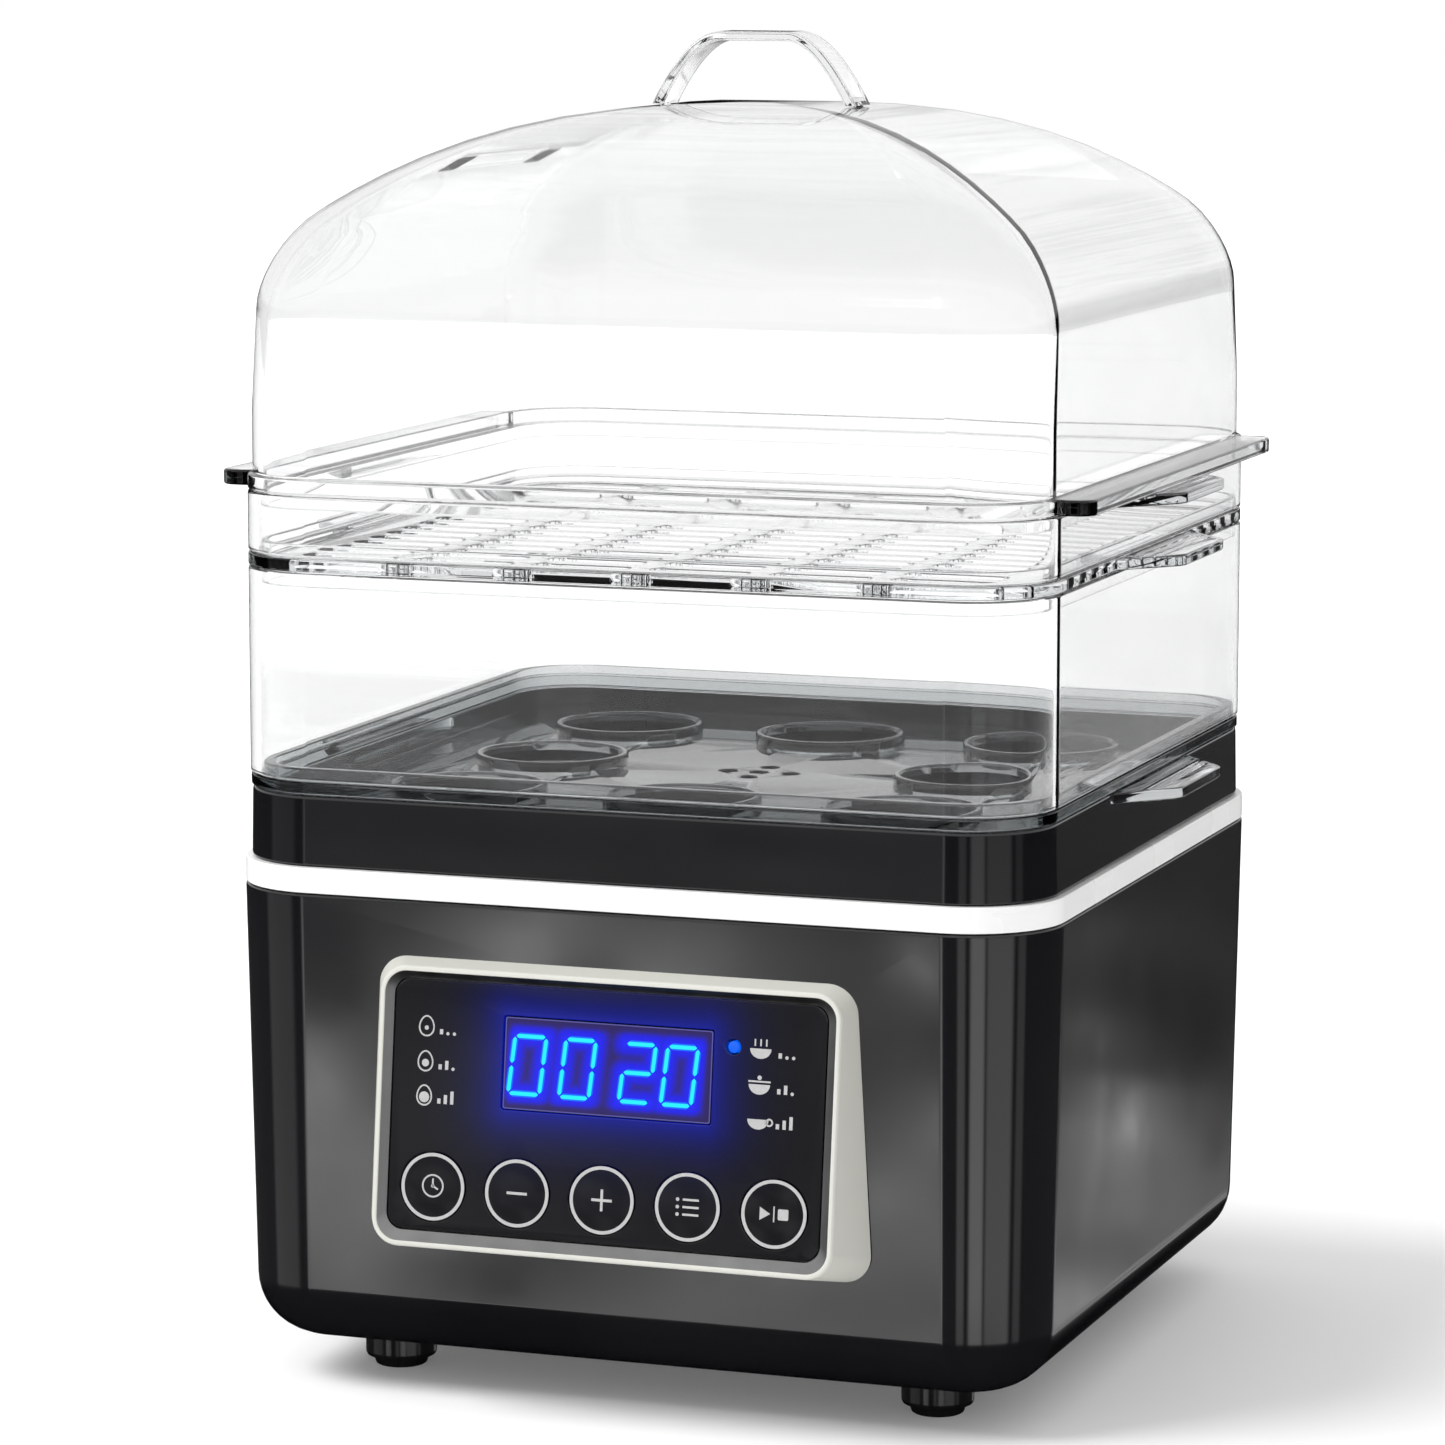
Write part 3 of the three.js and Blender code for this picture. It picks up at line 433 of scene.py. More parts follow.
def rounded_rect(half_x, half_y, radius, steps=PLAN_STEPS, centre=(0.0, 0.0)):
    """Points of a rounded rectangle, anticlockwise."""
    radius = max(0.05, min(radius, half_x - 0.01, half_y - 0.01))
    points = []
    for quarter, (sign_x, sign_y) in enumerate(((1, 1), (-1, 1), (-1, -1), (1, -1))):
        for step in range(steps + 1):
            angle = (quarter + step / steps) * math.pi / 2
            points.append((centre[0] + sign_x * (half_x - radius) + radius * math.cos(angle),
                centre[1] + sign_y * (half_y - radius) + radius * math.sin(angle)))
    return points


def circle(radius, steps=40, centre=(0.0, 0.0)):
    return [(centre[0] + radius * math.cos(2 * math.pi * i / steps),
        centre[1] + radius * math.sin(2 * math.pi * i / steps)) for i in range(steps)]


def plan(half):
    """The housings' plan at a half width: every wall is concentric with the base's widest outline."""
    return rounded_rect(half, half, CORNER - (HALF - half), centre=(0.0, CENTRE_Y))


def bent(start, control, end, t):
    """A point of the curve that leaves start and reaches end aiming at the control point."""
    return start.lerp(control, t).lerp(control.lerp(end, t), t)


def eased(profile, steps=EDGE_STEPS):
    """A closed profile of (half, z, edge radius) with each corner turned into an arc of that radius."""
    points = []
    count = len(profile)
    for i, (half, z, radius) in enumerate(profile):
        here = Vector((half, z))
        if radius <= 0:
            points.append((half, z))
            continue
        before = Vector(profile[i - 1][:2]) - here
        after = Vector(profile[(i + 1) % count][:2]) - here
        bend = before.angle(after)
        reach = min(radius / math.tan(bend / 2), before.length * 0.49, after.length * 0.49)
        start = here + before.normalized() * reach
        end = here + after.normalized() * reach
        for step in range(steps + 1):
            points.append(tuple(bent(start, here, end, step / steps)))
    return points


def add_rings(bm, loops, closed=False):
    """Walls through equal-length loops of 3-D points. Returns the rings of vertices."""
    rings = [[bm.verts.new(p) for p in loop] for loop in loops]
    pairs = list(zip(rings, rings[1:] + rings[:1])) if closed else list(zip(rings, rings[1:]))
    for low, high in pairs:
        for i in range(len(low)):
            j = (i + 1) % len(low)
            bm.faces.new((low[i], low[j], high[j], high[i]))
    return rings


def ring_edges(bm, ring):
    return [bm.edges.get((ring[i], ring[(i + 1) % len(ring)])) for i in range(len(ring))]


def fan(bm, ring):
    """Closes a ring with triangles to its middle."""
    middle = bm.verts.new(sum((v.co for v in ring), Vector()) / len(ring))
    for i in range(len(ring)):
        bm.faces.new((ring[i], ring[(i + 1) % len(ring)], middle))


def fill_between(bm, rings):
    """A flat face that spans the first ring and leaves the others as holes."""
    edges = [edge for ring in rings for edge in ring_edges(bm, ring)]
    bmesh.ops.triangle_fill(bm, use_beauty=True, edges=edges)


def square_turned(name, profile, material):
    """A closed ring whose section is the eased profile and whose plan is the housings' rounded square."""
    bm = bmesh.new()
    loops = [[(x, y, z) for x, y in plan(half)] for half, z in profile]
    add_rings(bm, loops, closed=True)
    return from_bmesh(name, bm, material)


def round_turned(name, profile, material, steps=64, place=(0.0, 0.0, 0.0)):
    """A solid of revolution from (radius, z) points that start and end near the axis."""
    bm = bmesh.new()
    loops = [[(x + place[0], y + place[1], z + place[2]) for x, y in circle(radius, steps)] for radius,
        z in profile]
    rings = add_rings(bm, loops)
    fan(bm, rings[0])
    fan(bm, rings[-1])
    return from_bmesh(name, bm, material)


def tray(name, section, holes, material):
    """A rounded-square tray. The section runs from the floor's top edge round the wall to the floor's
    underside, and each hole is (outline function of growth, [(growth, z), ...] from top to underside)."""
    bm = bmesh.new()
    loops = [[(x, y, z) for x, y in plan(half)] for half, z in section]
    rings = add_rings(bm, loops)
    tops, unders = [rings[0]], [rings[-1]]
    for outline, walls in holes:
        hole = add_rings(bm, [[(x, y, z) for x, y in outline(growth)] for growth, z in walls])
        tops.append(hole[0])
        unders.append(hole[-1])
    fill_between(bm, tops)
    fill_between(bm, unders)
    return from_bmesh(name, bm, material)


def edge_curve(low, high, edge, steps=EDGE_STEPS):
    """(inset, z) points down a side wall from the top face to the underside, with round edges."""
    top = [(edge * (1 - math.sin(a)),
        high - edge * (1 - math.cos(a))) for a in (math.pi / 2 * s / steps for s in range(steps + 1))]
    return top + [(inset, low + (high - z)) for inset, z in reversed(top)]


def plate(name, outline, holes, low, high, edge, material):
    """A flat plate with round edges from outline functions of growth, pierced by hole functions."""
    bm = bmesh.new()
    side = edge_curve(low, high, edge)
    rings = add_rings(bm, [[(x, y, z) for x, y in outline(-inset)] for inset, z in side])
    tops, unders = [rings[0]], [rings[-1]]
    for hole in holes:
        wall = add_rings(bm, [[(x, y, z) for x, y in hole(inset)] for inset, z in side])
        tops.append(wall[0])
        unders.append(wall[-1])
    fill_between(bm, tops)
    fill_between(bm, unders)
    return from_bmesh(name, bm, material)


def round_hole(radius, steps, place):
    """A round hole for a plate, its rim eased outwards."""
    return lambda inset: circle(radius + inset, steps, place)[::-1]


def swap_mesh(piece, operation, tool):
    """Joins or cuts the piece with the tool for good, and removes the tool."""
    modifier = piece.modifiers.new("work", "BOOLEAN")
    modifier.operation = operation
    modifier.solver = "MANIFOLD"
    modifier.object = tool
    for other in list(piece.modifiers):
        if other.type == "WEIGHTED_NORMAL":
            piece.modifiers.remove(other)
    graph = bpy.context.evaluated_depsgraph_get()
    made = bpy.data.meshes.new_from_object(piece.evaluated_get(graph))
    made.name = piece.data.name
    piece.modifiers.clear()
    piece.data = made
    bpy.data.objects.remove(tool)
    return finish_mesh(piece)


def block(name, low, high, edge, material):
    """A box with round edges between two corners."""
    size = (Vector(high) - Vector(low)) / 2
    middle = (Vector(high) + Vector(low)) / 2
    outline = lambda grow: rounded_rect(size.x + grow, size.y + grow, max(edge, 0.2), 4, middle[:2])
    return plate(name, outline, [], low[2], high[2], edge, material)


def settle(piece, body, slot, *nodes):
    """Rides the piece on its body and hides the CAD nodes it stands for."""
    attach(piece, body)
    if nodes:
        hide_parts(*nodes)
    return piece


# ---- base --------------------
FOOT_TOP = 10.0
BASE_TOP = 118.67
BAND_TOP = 124.94
COLLAR_TOP = 141.7
EGG_TRAY_TOP = 144.7
LOWER_TIER_TOP = 193.4
STEAM_TRAY_TOP = 196.9
UPPER_RING_TOP = 211.2
FLANGE_TOP = 215.0
SEAM = 0.15           # half the gap between stacked pieces
COVER_HALF = 77.7
COVER_TOP = 12.8
FOOT_X = 67.4
PANEL_PLACE = Vector((0.0, CENTRE_Y - 108.39, 70.67))
PANEL_TILT = math.radians(7)
RIM_HALF, RIM_LOW, RIM_HIGH = 56.2, -31.0, 34.0
OVERLAY_HALF, OVERLAY_LOW, OVERLAY_HIGH = 52.6, -26.9, 30.9
OVERLAY_FACE = -1.2
OVERLAY_THICK = 2.0


def round_bottom(half, low, radius, steps=10):
    """Ring sizes up the lower edge round, from the underside to the wall."""
    angles = [math.pi / 2 * step / steps for step in range(steps + 1)]
    return [(half - radius * (1 - math.sin(a)), low + radius * (1 - math.cos(a))) for a in angles]


LIP_FROM = 60.0        # any height between the lower round and the rim


def make_base():
    outer = round_bottom(BASE_FOOT_HALF, FOOT_TOP, BASE_ROUND)
    inner = round_bottom(BASE_FOOT_HALF - BASE_WALL, FOOT_TOP + BASE_WALL, BASE_ROUND - BASE_WALL)
    top = BASE_TOP - SEAM
    lip = eased([(HALF - BASE_WALL, LIP_FROM, 0), (HALF, LIP_FROM, 0), (HALF, top, 0.6),
        (HALF - BASE_WALL, top, 0.4)])[2:]
    mouth = COVER_HALF + 0.3
    profile = [(mouth, FOOT_TOP)] + outer + lip + inner[::-1] + [(mouth, FOOT_TOP + BASE_WALL)]
    shell = square_turned("base_shell", profile, GLOSS_BLACK)
    low, high = PANEL_PLACE.z + RIM_LOW + 6, PANEL_PLACE.z + RIM_HIGH - 4
    half = OVERLAY_HALF - 2
    pocket = block("pocket_tool", (-half, BASE_LOW.y - 20, low), (half, BASE_LOW.y + 20, high), 0.5,
        GLOSS_BLACK)
    swap_mesh(shell, "DIFFERENCE", pocket)
    return settle(shell, "base", "black_gloss", "base_housing")


COVER_SLOT_HALF, COVER_SLOT_X, COVER_SLOT_PITCH = (17, 2), 22, 12


def make_cover():
    outline = lambda grow: rounded_rect(COVER_HALF + grow, COVER_HALF + grow, 8 + grow, 8, (0.0, CENTRE_Y))
    holes = []
    long, wide = COVER_SLOT_HALF
    for row in range(-2, 3):
        for side in (-COVER_SLOT_X, COVER_SLOT_X):
            place = (side, row * COVER_SLOT_PITCH + CENTRE_Y)
            holes.append(lambda grow, at=place: rounded_rect(long - grow, wide - grow, wide, 5, at)[::-1])
    for turn in range(4):
        x, y = FOOT_X * math.cos(turn * math.pi / 2), FOOT_X * math.sin(turn * math.pi / 2) + CENTRE_Y
        holes.append(lambda grow, x=x, y=y: circle(2.0 - grow, 20, (x, y))[::-1])
    cover = plate("underside_cover", outline, holes, FOOT_TOP + 0.3, COVER_TOP, 0.4, DARK_PLASTIC)
    settle(cover, "base", "dark_plastic", "bottom_cover")


def make_feet():
    profile = [(0.5, 0.0), (5.7, 0.0), (6.1, 0.25), (6.3, 0.7), (6.5, 1.7), (7.6, 2.1), (8.2, 2.4),
        (8.45, 2.9), (8.5, 3.5), (8.5, 9.6), (8.1, 10.0), (0.5, 10.0)]
    for along, y in (("front", -FOOT_X), ("rear", FOOT_X)):
        for across, x in (("left", -FOOT_X), ("right", FOOT_X)):
            name = along + "_" + across
            foot = round_turned("rubber_" + name, profile, FOOT_BLACK, 40, (x, y + CENTRE_Y, 0.0))
            settle(foot, "base", "rubber", "foot_" + name)


def make_band():
    low, high = BASE_TOP + SEAM, BAND_TOP - SEAM
    profile = eased([(HALF - 3.5, low, 0.3), (HALF, low, 0.45), (HALF, high, 0.45), (HALF - 3.5, high, 0.3)])
    settle(square_turned("white_band", profile, WHITE_GLOSS), "base", "white_plastic", "trim_band")


COLLAR_HALF = 98.43
WELL_HALF = 95.4
WELL_FLOOR = 127.6
PLATE_HOLE = 77.0
NOTCH_HALF, NOTCH_DEEP = 34.0, 3.3     # the cut for each grip tab of the egg tray


def centred_circle(radius, steps=72, x=0.0, y=0.0):
    return lambda grow: circle(radius + grow, steps, (x, y + CENTRE_Y))


def make_collar():
    low, high = BAND_TOP + SEAM, COLLAR_TOP - SEAM
    section = eased([(WELL_HALF - 1, WELL_FLOOR, 0), (WELL_HALF, WELL_FLOOR, 0.9), (WELL_HALF, high, 0.4),
        (COLLAR_HALF - 0.3, high, 1.0), (COLLAR_HALF, low, 0.4), (COLLAR_HALF - 3, low, 0)])
    hole = (centred_circle(PLATE_HOLE), [(0.4, WELL_FLOOR), (0.0, WELL_FLOOR - 0.4), (0.0, low)])
    collar = tray("collar_shell", section, [hole], GLOSS_BLACK)
    for side in (-1, 1):
        x = side * (WELL_HALF + 2)
        notch = block("notch_tool", (x - 4, CENTRE_Y - NOTCH_HALF, COLLAR_TOP - NOTCH_DEEP),
            (x + 4, CENTRE_Y + NOTCH_HALF, COLLAR_TOP + 3), 0.3, GLOSS_BLACK)
        swap_mesh(collar, "DIFFERENCE", notch)
    settle(collar, "base", "black_gloss", "collar_ring")


def make_plate():
    """The spun heating dish and its seal."""
    under, flange = 117.4, WELL_FLOOR + 2.2
    dish = [(0.5, under), (70, under), (72, under + 0.5), (73.5, under + 1.6), (74.4, under + 4),
        (75, flange - 1), (75.4, flange - 0.3), (76, flange), (82.3, flange), (82.5, flange + 0.3),
        (82.3, flange + 1), (75.5, flange + 1), (74.4, flange + 0.6), (73.9, flange - 0.4),
        (73.2, under + 4.2), (72.4, under + 2.3), (71.2, under + 1.3), (69.5, under + 1), (30, under + 1),
        (29.4, under + 1.35), (28.8, under + 1.35), (28.2, under + 1), (0.5, under + 1)]
    settle(round_turned("spun_dish", dish, PLATE_BLACK, 96, (0, CENTRE_Y, 0)), "base", "steel",
        "heating_plate")
    low = WELL_FLOOR + 0.3
    outline = centred_circle(82.5)
    hole = round_hole(77.6, 72, (0, CENTRE_Y))
    seal = plate("soft_seal", outline, [hole], low, low + 1.6, 0.5, SILICONE)
    settle(seal, "base", "silicone", "plate_seal")


# ---- control panel --------------------
KEY_PITCH, KEY_V, KEY_R, KEY_COUNT = 20.8, -16.8, 7.9, 5
WINDOW_HALF, WINDOW_LOW, WINDOW_HIGH = 25.6, 2.1, 23.9
LED_U, LED_V = 30.3, 20.3
PANEL_MATRIX = Matrix.Translation(PANEL_PLACE * MM) @ Matrix.Rotation(math.pi / 2 - PANEL_TILT, 4, "X")
MARK_HIGH = 0.08


def on_panel(piece):
    """Brings a piece made in the panel's own frame (across, up, out) to its place, in metres."""
    piece.data.transform(PANEL_MATRIX)
    return piece


def rect(half, low, high, radius, steps=10):
    return lambda grow=0.0: rounded_rect(half + grow, (high - low) / 2 + grow, radius + grow, steps,
        (0, (high + low) / 2))


HALO_STRENGTH, HALO_FADE = 0.36, 0.0042        # light at the window's edge, and metres to a third of it
HALO_INSET = (0.93, 0.45)                      # where it starts: shares of half width and of height


def panel_black():
    """Black gloss lit by a soft blue halo round the display window."""
    material, shader, n = principled("panel_black", (0.004, 0.004, 0.005), 0.06, IOR=1.5,
        Emission_Color=(0.0, 0.02, 1.0, 1.0))
    vary_roughness(n, shader, noise(n, 24), 0.04, 0.09)
    split = n.add("ShaderNodeSeparateXYZ")
    n.link(n.add("ShaderNodeTexCoord").outputs["Object"], split.inputs[0])
    middle = PANEL_PLACE.z + (WINDOW_LOW + WINDOW_HIGH) / 2 * math.cos(PANEL_TILT)
    half, tall = WINDOW_HALF * HALO_INSET[0] * MM, (WINDOW_HIGH - WINDOW_LOW) * HALO_INSET[1] * MM
    aside = n.math("ABSOLUTE", split.outputs["X"])
    height = n.math("ABSOLUTE", n.math("SUBTRACT", split.outputs["Z"], middle * MM))
    across = n.math("MAXIMUM", n.math("SUBTRACT", aside, half), 0.0)
    up = n.math("MAXIMUM", n.math("SUBTRACT", height, tall), 0.0)
    reach = n.math("SQRT", n.math("ADD", n.math("MULTIPLY", across, across), n.math("MULTIPLY", up, up)))
    fade = n.math("POWER", 2.718, n.math("MULTIPLY", reach, -1 / HALO_FADE))
    n.link(n.math("MULTIPLY", fade, HALO_STRENGTH), shader.inputs["Emission Strength"])
    return material


def window_film():
    """The display's dark violet film."""
    material, shader, n = principled("window_film", (0.012, 0.008, 0.02), 0.07)
    vary_colour(n, shader, noise(n, 70, 1.0), (0.010, 0.008, 0.02), (0.016, 0.010, 0.03))
    vary_roughness(n, shader, noise(n, 24), 0.05, 0.1)
    return material


def stand_off(v):
    """Distance from the panel's plane back to the housing's front at a height up the panel."""
    y = PANEL_PLACE.y - CENTRE_Y + v * math.sin(PANEL_TILT)
    z = PANEL_PLACE.z + v * math.cos(PANEL_TILT)
    lean = (z - FOOT_TOP - BASE_ROUND) / (BASE_TOP - FOOT_TOP - BASE_ROUND)
    return (-BASE_FOOT_HALF - (HALF - BASE_FOOT_HALF) * lean - y) / math.cos(PANEL_TILT)


FLARE, FLARE_UNDER = 0.4, 0.1     # how far the bezel's sides spread for each millimetre back


def make_bezel():
    steps = 10
    centre = (RIM_HIGH + RIM_LOW) / 2
    tall = (RIM_HIGH - RIM_LOW) / 2

    def rim(grow, depth):
        return [(x, y, depth) for x, y in rounded_rect(RIM_HALF + grow, tall + grow, 6.5 + grow, steps,
            (0, centre))]

    def back(points, spread):
        out = []
        for x, y, _ in points:
            depth = stand_off(y)
            rise = (y - centre) / tall * depth * (min(spread, FLARE_UNDER) if y < centre else spread)
            out.append((x + x / RIM_HALF * spread * depth, y + rise, 0.3 - depth))
        return out

    def mouth(grow, depth, radius):
        shape = rect(OVERLAY_HALF + grow, OVERLAY_LOW - grow, OVERLAY_HIGH + grow, radius, steps)
        return [(x, y, depth) for x, y in shape()]

    through = rect(OVERLAY_HALF - 1.8, OVERLAY_LOW + 0.9, OVERLAY_HIGH - 0.9, 3, steps)
    inner = [(x, y, -3.5) for x, y in through()]
    loops = [back(rim(0, 0), FLARE), rim(0, -0.9), rim(-0.12, -0.35), rim(-0.45, -0.05), rim(-0.9, 0.0),
        rim(-1.15, -0.04), rim(-1.3, -0.2), mouth(0.75, -1.05, 4.4), mouth(0.3, -1.2, 4), mouth(0.3, -3.5, 4),
        inner, back(inner, 0.0)]
    bm = bmesh.new()
    add_rings(bm, loops, closed=True)
    count = len(loops[0])
    bm.faces.ensure_lookup_table()
    for index, face in enumerate(bm.faces):
        band = index // count
        face.material_index = 1 if 1 <= band <= 5 else 2 if 6 <= band <= 8 else 0
    bezel = on_panel(from_bmesh("bezel_shell", bm, [BEZEL_GREY, BEZEL_RIM, BEZEL_BAND]))
    settle(bezel, "base", "bezel_grey", "panel_bezel")


def key_u(index):
    return (index - (KEY_COUNT - 1) / 2) * KEY_PITCH


def make_overlay(black):
    holes = [round_hole(KEY_R + 0.3, 40, (key_u(i), KEY_V)) for i in range(KEY_COUNT)]
    window = rect(WINDOW_HALF, WINDOW_LOW, WINDOW_HIGH, 0.6, 4)
    holes.append(lambda inset: window(inset)[::-1])
    holes.append(round_hole(1.8, 24, (LED_U, LED_V)))
    outline = rect(OVERLAY_HALF, OVERLAY_LOW, OVERLAY_HIGH, 3.7)
    overlay = plate("gloss_overlay", outline, holes, OVERLAY_FACE - OVERLAY_THICK, OVERLAY_FACE, 0.18, black)
    settle(on_panel(overlay), "base", "black_gloss", "panel_overlay")


WINDOW_FACE = -1.6


def make_window():
    outline = rect(WINDOW_HALF - 0.3, WINDOW_LOW + 0.3, WINDOW_HIGH - 0.3, 0.5, 4)
    glass = plate("display_glass", outline, [], WINDOW_FACE - 1.6, WINDOW_FACE, 0.15, window_film())
    settle(on_panel(glass), "base", "tinted_window", "display_window")
    # A line that glows round the window's edge, just inside it: a painted highlight.
    inner = rect(WINDOW_HALF - 0.62, WINDOW_LOW + 0.62, WINDOW_HIGH - 0.62, 0.4, 4)
    edge_highlight = plate("window_edge_highlight", rect(WINDOW_HALF - 0.35, WINDOW_LOW + 0.35, WINDOW_HIGH - 0.35, 0.5, 4),
        [lambda inset: inner(inset)[::-1]], WINDOW_FACE, WINDOW_FACE + MARK_HIGH, 0.02, WINDOW_EDGE_HIGHLIGHT)
    settle(on_panel(edge_highlight), "base", "tinted_window")


class Pen:
    """Draws flat closed shapes of one thickness into a mesh."""

    def __init__(self, bm, low, high):
        self.bm, self.low, self.high = bm, low, high

    def shape(self, points):
        """A closed prism over a simple outline."""
        bottom = [self.bm.verts.new((x, y, self.low)) for x, y in points]
        top = [self.bm.verts.new((x, y, self.high)) for x, y in points]
        for i in range(len(points)):
            j = (i + 1) % len(points)
            self.bm.faces.new((bottom[i], bottom[j], top[j], top[i]))
        self.bm.faces.new(top)
        self.bm.faces.new(bottom[::-1])

    def disc(self, radius, steps, place):
        self.shape(circle(radius, steps, place))

    def ring(self, outer, inner):
        """A flat band between two outlines of equal length."""
        loops = [(outer, self.low), (outer, self.high), (inner, self.high), (inner, self.low)]
        add_rings(self.bm, [[(x, y, z) for x, y in loop] for loop, z in loops], closed=True)

    def line(self, points, width):
        """A flat line of the given width through the points, with square ends."""
        for (x0, y0), (x1, y1) in zip(points, points[1:]):
            along = Vector((x1 - x0, y1 - y0)).normalized() * width / 2
            side = Vector((-along.y, along.x))
            a, b = Vector((x0, y0)) - along * 0.6, Vector((x1, y1)) + along * 0.6
            self.shape([a - side, b - side, b + side, a + side])


DIGIT_SPANS = [(-24.0, -14.5), (-11.5, -2.4), (3.1, 12.2), (13.3, 22.4)]
DIGIT_LOW, DIGIT_HIGH = 5.5, 20.0
DIGIT_LEAN = math.tan(math.radians(5.5))
DIGIT_SHIFT = 0.7     # how far the leaning digits move left to stand in their spans
DIGIT_STROKE = 1.25
DIGIT_GAP = 0.28
SEGMENTS = {"0": "abcdef", "2": "abged"}


def draw_bar(pen, start, end, width):
    """One bar of a digit with pointed ends."""
    start, end = Vector(start), Vector(end)
    along = (end - start).normalized()
    side = Vector((-along.y, along.x)) * width / 2
    nose = along * width / 2
    start, end = start + along * DIGIT_GAP, end - along * DIGIT_GAP
    points = [start, start + nose - side, end - nose - side, end, end - nose + side, start + nose + side]
    pen.shape([(p.x + (p.y - DIGIT_LOW) * DIGIT_LEAN - DIGIT_SHIFT, p.y) for p in points])


def lit_bars():
    """Start and end of every lit bar of the four digits, upright."""
    inset = DIGIT_STROKE / 2
    bottom, top = DIGIT_LOW + inset, DIGIT_HIGH - inset
    middle = (bottom + top) / 2
    bars = []
    for digit, (left, right) in zip("0020", DIGIT_SPANS):
        left, right = left + inset, right - inset - 0.6
        ends = {"a": ((left, top), (right, top)), "b": ((right, middle), (right, top)),
            "c": ((right, bottom), (right, middle)), "d": ((left, bottom), (right, bottom)),
            "e": ((left, bottom), (left, middle)), "f": ((left, middle), (left, top)),
            "g": ((left, middle), (right, middle))}
        bars += [ends[bar] for bar in SEGMENTS[digit]]
    return bars


def make_digits():
    for name, width, rise, material in (("digit_edges", DIGIT_STROKE * 1.25, 0.0, EDGE_BLUE),
            ("digit_cores", DIGIT_STROKE * 0.72, MARK_HIGH, DIGIT_BLUE)):
        bm = bmesh.new()
        low = WINDOW_FACE + GLOW_THICK + rise
        pen = Pen(bm, low, low + MARK_HIGH)
        for start, end in lit_bars():
            draw_bar(pen, start, end, width)
        settle(on_panel(from_bmesh(name, bm, material)), "base", "display_blue")


GLOW_THICK = 0.05
GLOW_CELLS = (100, 42)
GLOW_REACH = 2.0


def distance_to_bar(point, start, end):
    start, end = Vector(start), Vector(end)
    along = end - start
    share = max(0.0, min(1.0, (point - start).dot(along) / along.length_squared))
    return (point - start - along * share).length


def make_glow():
    """A thin film behind the digits whose light fades with distance from the lit bars."""
    half, low, high = WINDOW_HALF - 0.4, WINDOW_LOW + 0.4, WINDOW_HIGH - 0.4
    columns, rows = GLOW_CELLS
    bm = bmesh.new()
    bmesh.ops.create_grid(bm, x_segments=columns, y_segments=rows, size=1.0)
    for vertex in bm.verts:
        vertex.co = (vertex.co.x * half, low + (vertex.co.y + 1) / 2 * (high - low), WINDOW_FACE)
    top = bmesh.ops.extrude_face_region(bm, geom=bm.faces[:])["geom"]
    for vertex in (item for item in top if isinstance(item, bmesh.types.BMVert)):
        vertex.co.z += GLOW_THICK
    layer = bm.verts.layers.float.new("glow")
    bars = lit_bars()
    for vertex in bm.verts:
        u, v = vertex.co.x, vertex.co.y
        point = Vector((u - (v - DIGIT_LOW) * DIGIT_LEAN + DIGIT_SHIFT, v))
        reach = min(distance_to_bar(point, *bar) for bar in bars)
        edge = min(half - abs(u), v - low, high - v)
        vertex[layer] = math.exp(-reach / GLOW_REACH) * min(1.0, 0.25 + edge / 3)
    film = on_panel(from_bmesh("glow_film", bm, glow_film()))
    settle(film, "base", "display_blue")


def glow_film():
    material, shader, n = principled("glow_film", (0.012, 0.008, 0.02), 0.1, Emission_Strength=1.0)
    glow = n.add("ShaderNodeAttribute", attribute_name="glow").outputs["Fac"]
    tone = n.ramp(glow, [(0.0, (0.012, 0.006, 0.05)), (0.15, (0.012, 0.008, 0.16)), (0.4, (0.0, 0.004, 0.75)),
        (1.0, (0.0, 0.015, 1.0))], "LINEAR")
    n.link(tone, shader.inputs["Emission Color"])
    vary_roughness(n, shader, noise(n, 24), 0.06, 0.12)
    return material


def make_led():
    face = OVERLAY_FACE
    dome = [(0.3, -10.4), (1.4, -10.4), (1.4, face - 0.5), (1.25, face - 0.3), (0.9, face - 0.22),
        (0.2, face - 0.2)]
    led = on_panel(round_turned("blue_led", dome, LED_BLUE, 28, (LED_U, LED_V, 0)))
    settle(led, "base", "display_blue", "indicator_led")


def clock_mark(pen):
    middle = (0, 0.2)
    pen.ring(circle(2.7, 36, middle), circle(2.3, 36, middle))
    pen.line([(0, 1.8), middle], 0.4)
    pen.line([middle, (1.2, -0.5)], 0.4)
    pen.disc(0.42, 14, middle)


def minus_mark(pen):
    pen.line([(-2.3, 0), (2.3, 0)], 0.62)


def plus_mark(pen):
    arm, half = 2.5, 0.31
    pen.shape([(half, half), (half, arm), (-half, arm), (-half, half), (-arm, half), (-arm, -half),
        (-half, -half), (-half, -arm), (half, -arm), (half, -half), (arm, -half), (arm, half)])


def list_mark(pen):
    for row in (-1.7, 0.0, 1.7):
        pen.line([(-1.0, row), (2.6, row)], 0.5)
        pen.disc(0.42, 14, (-2.4, row))


def play_stop_mark(pen):
    pen.shape([(-3.4, -1.5), (-0.9, 0.0), (-3.4, 1.5)])
    pen.line([(0.0, -1.7), (0.0, 1.7)], 0.3)
    pen.shape(rounded_rect(1.25, 1.25, 0.3, 3, (2.2, 0)))


KEY_MARKS = [clock_mark, minus_mark, plus_mark, list_mark, play_stop_mark]


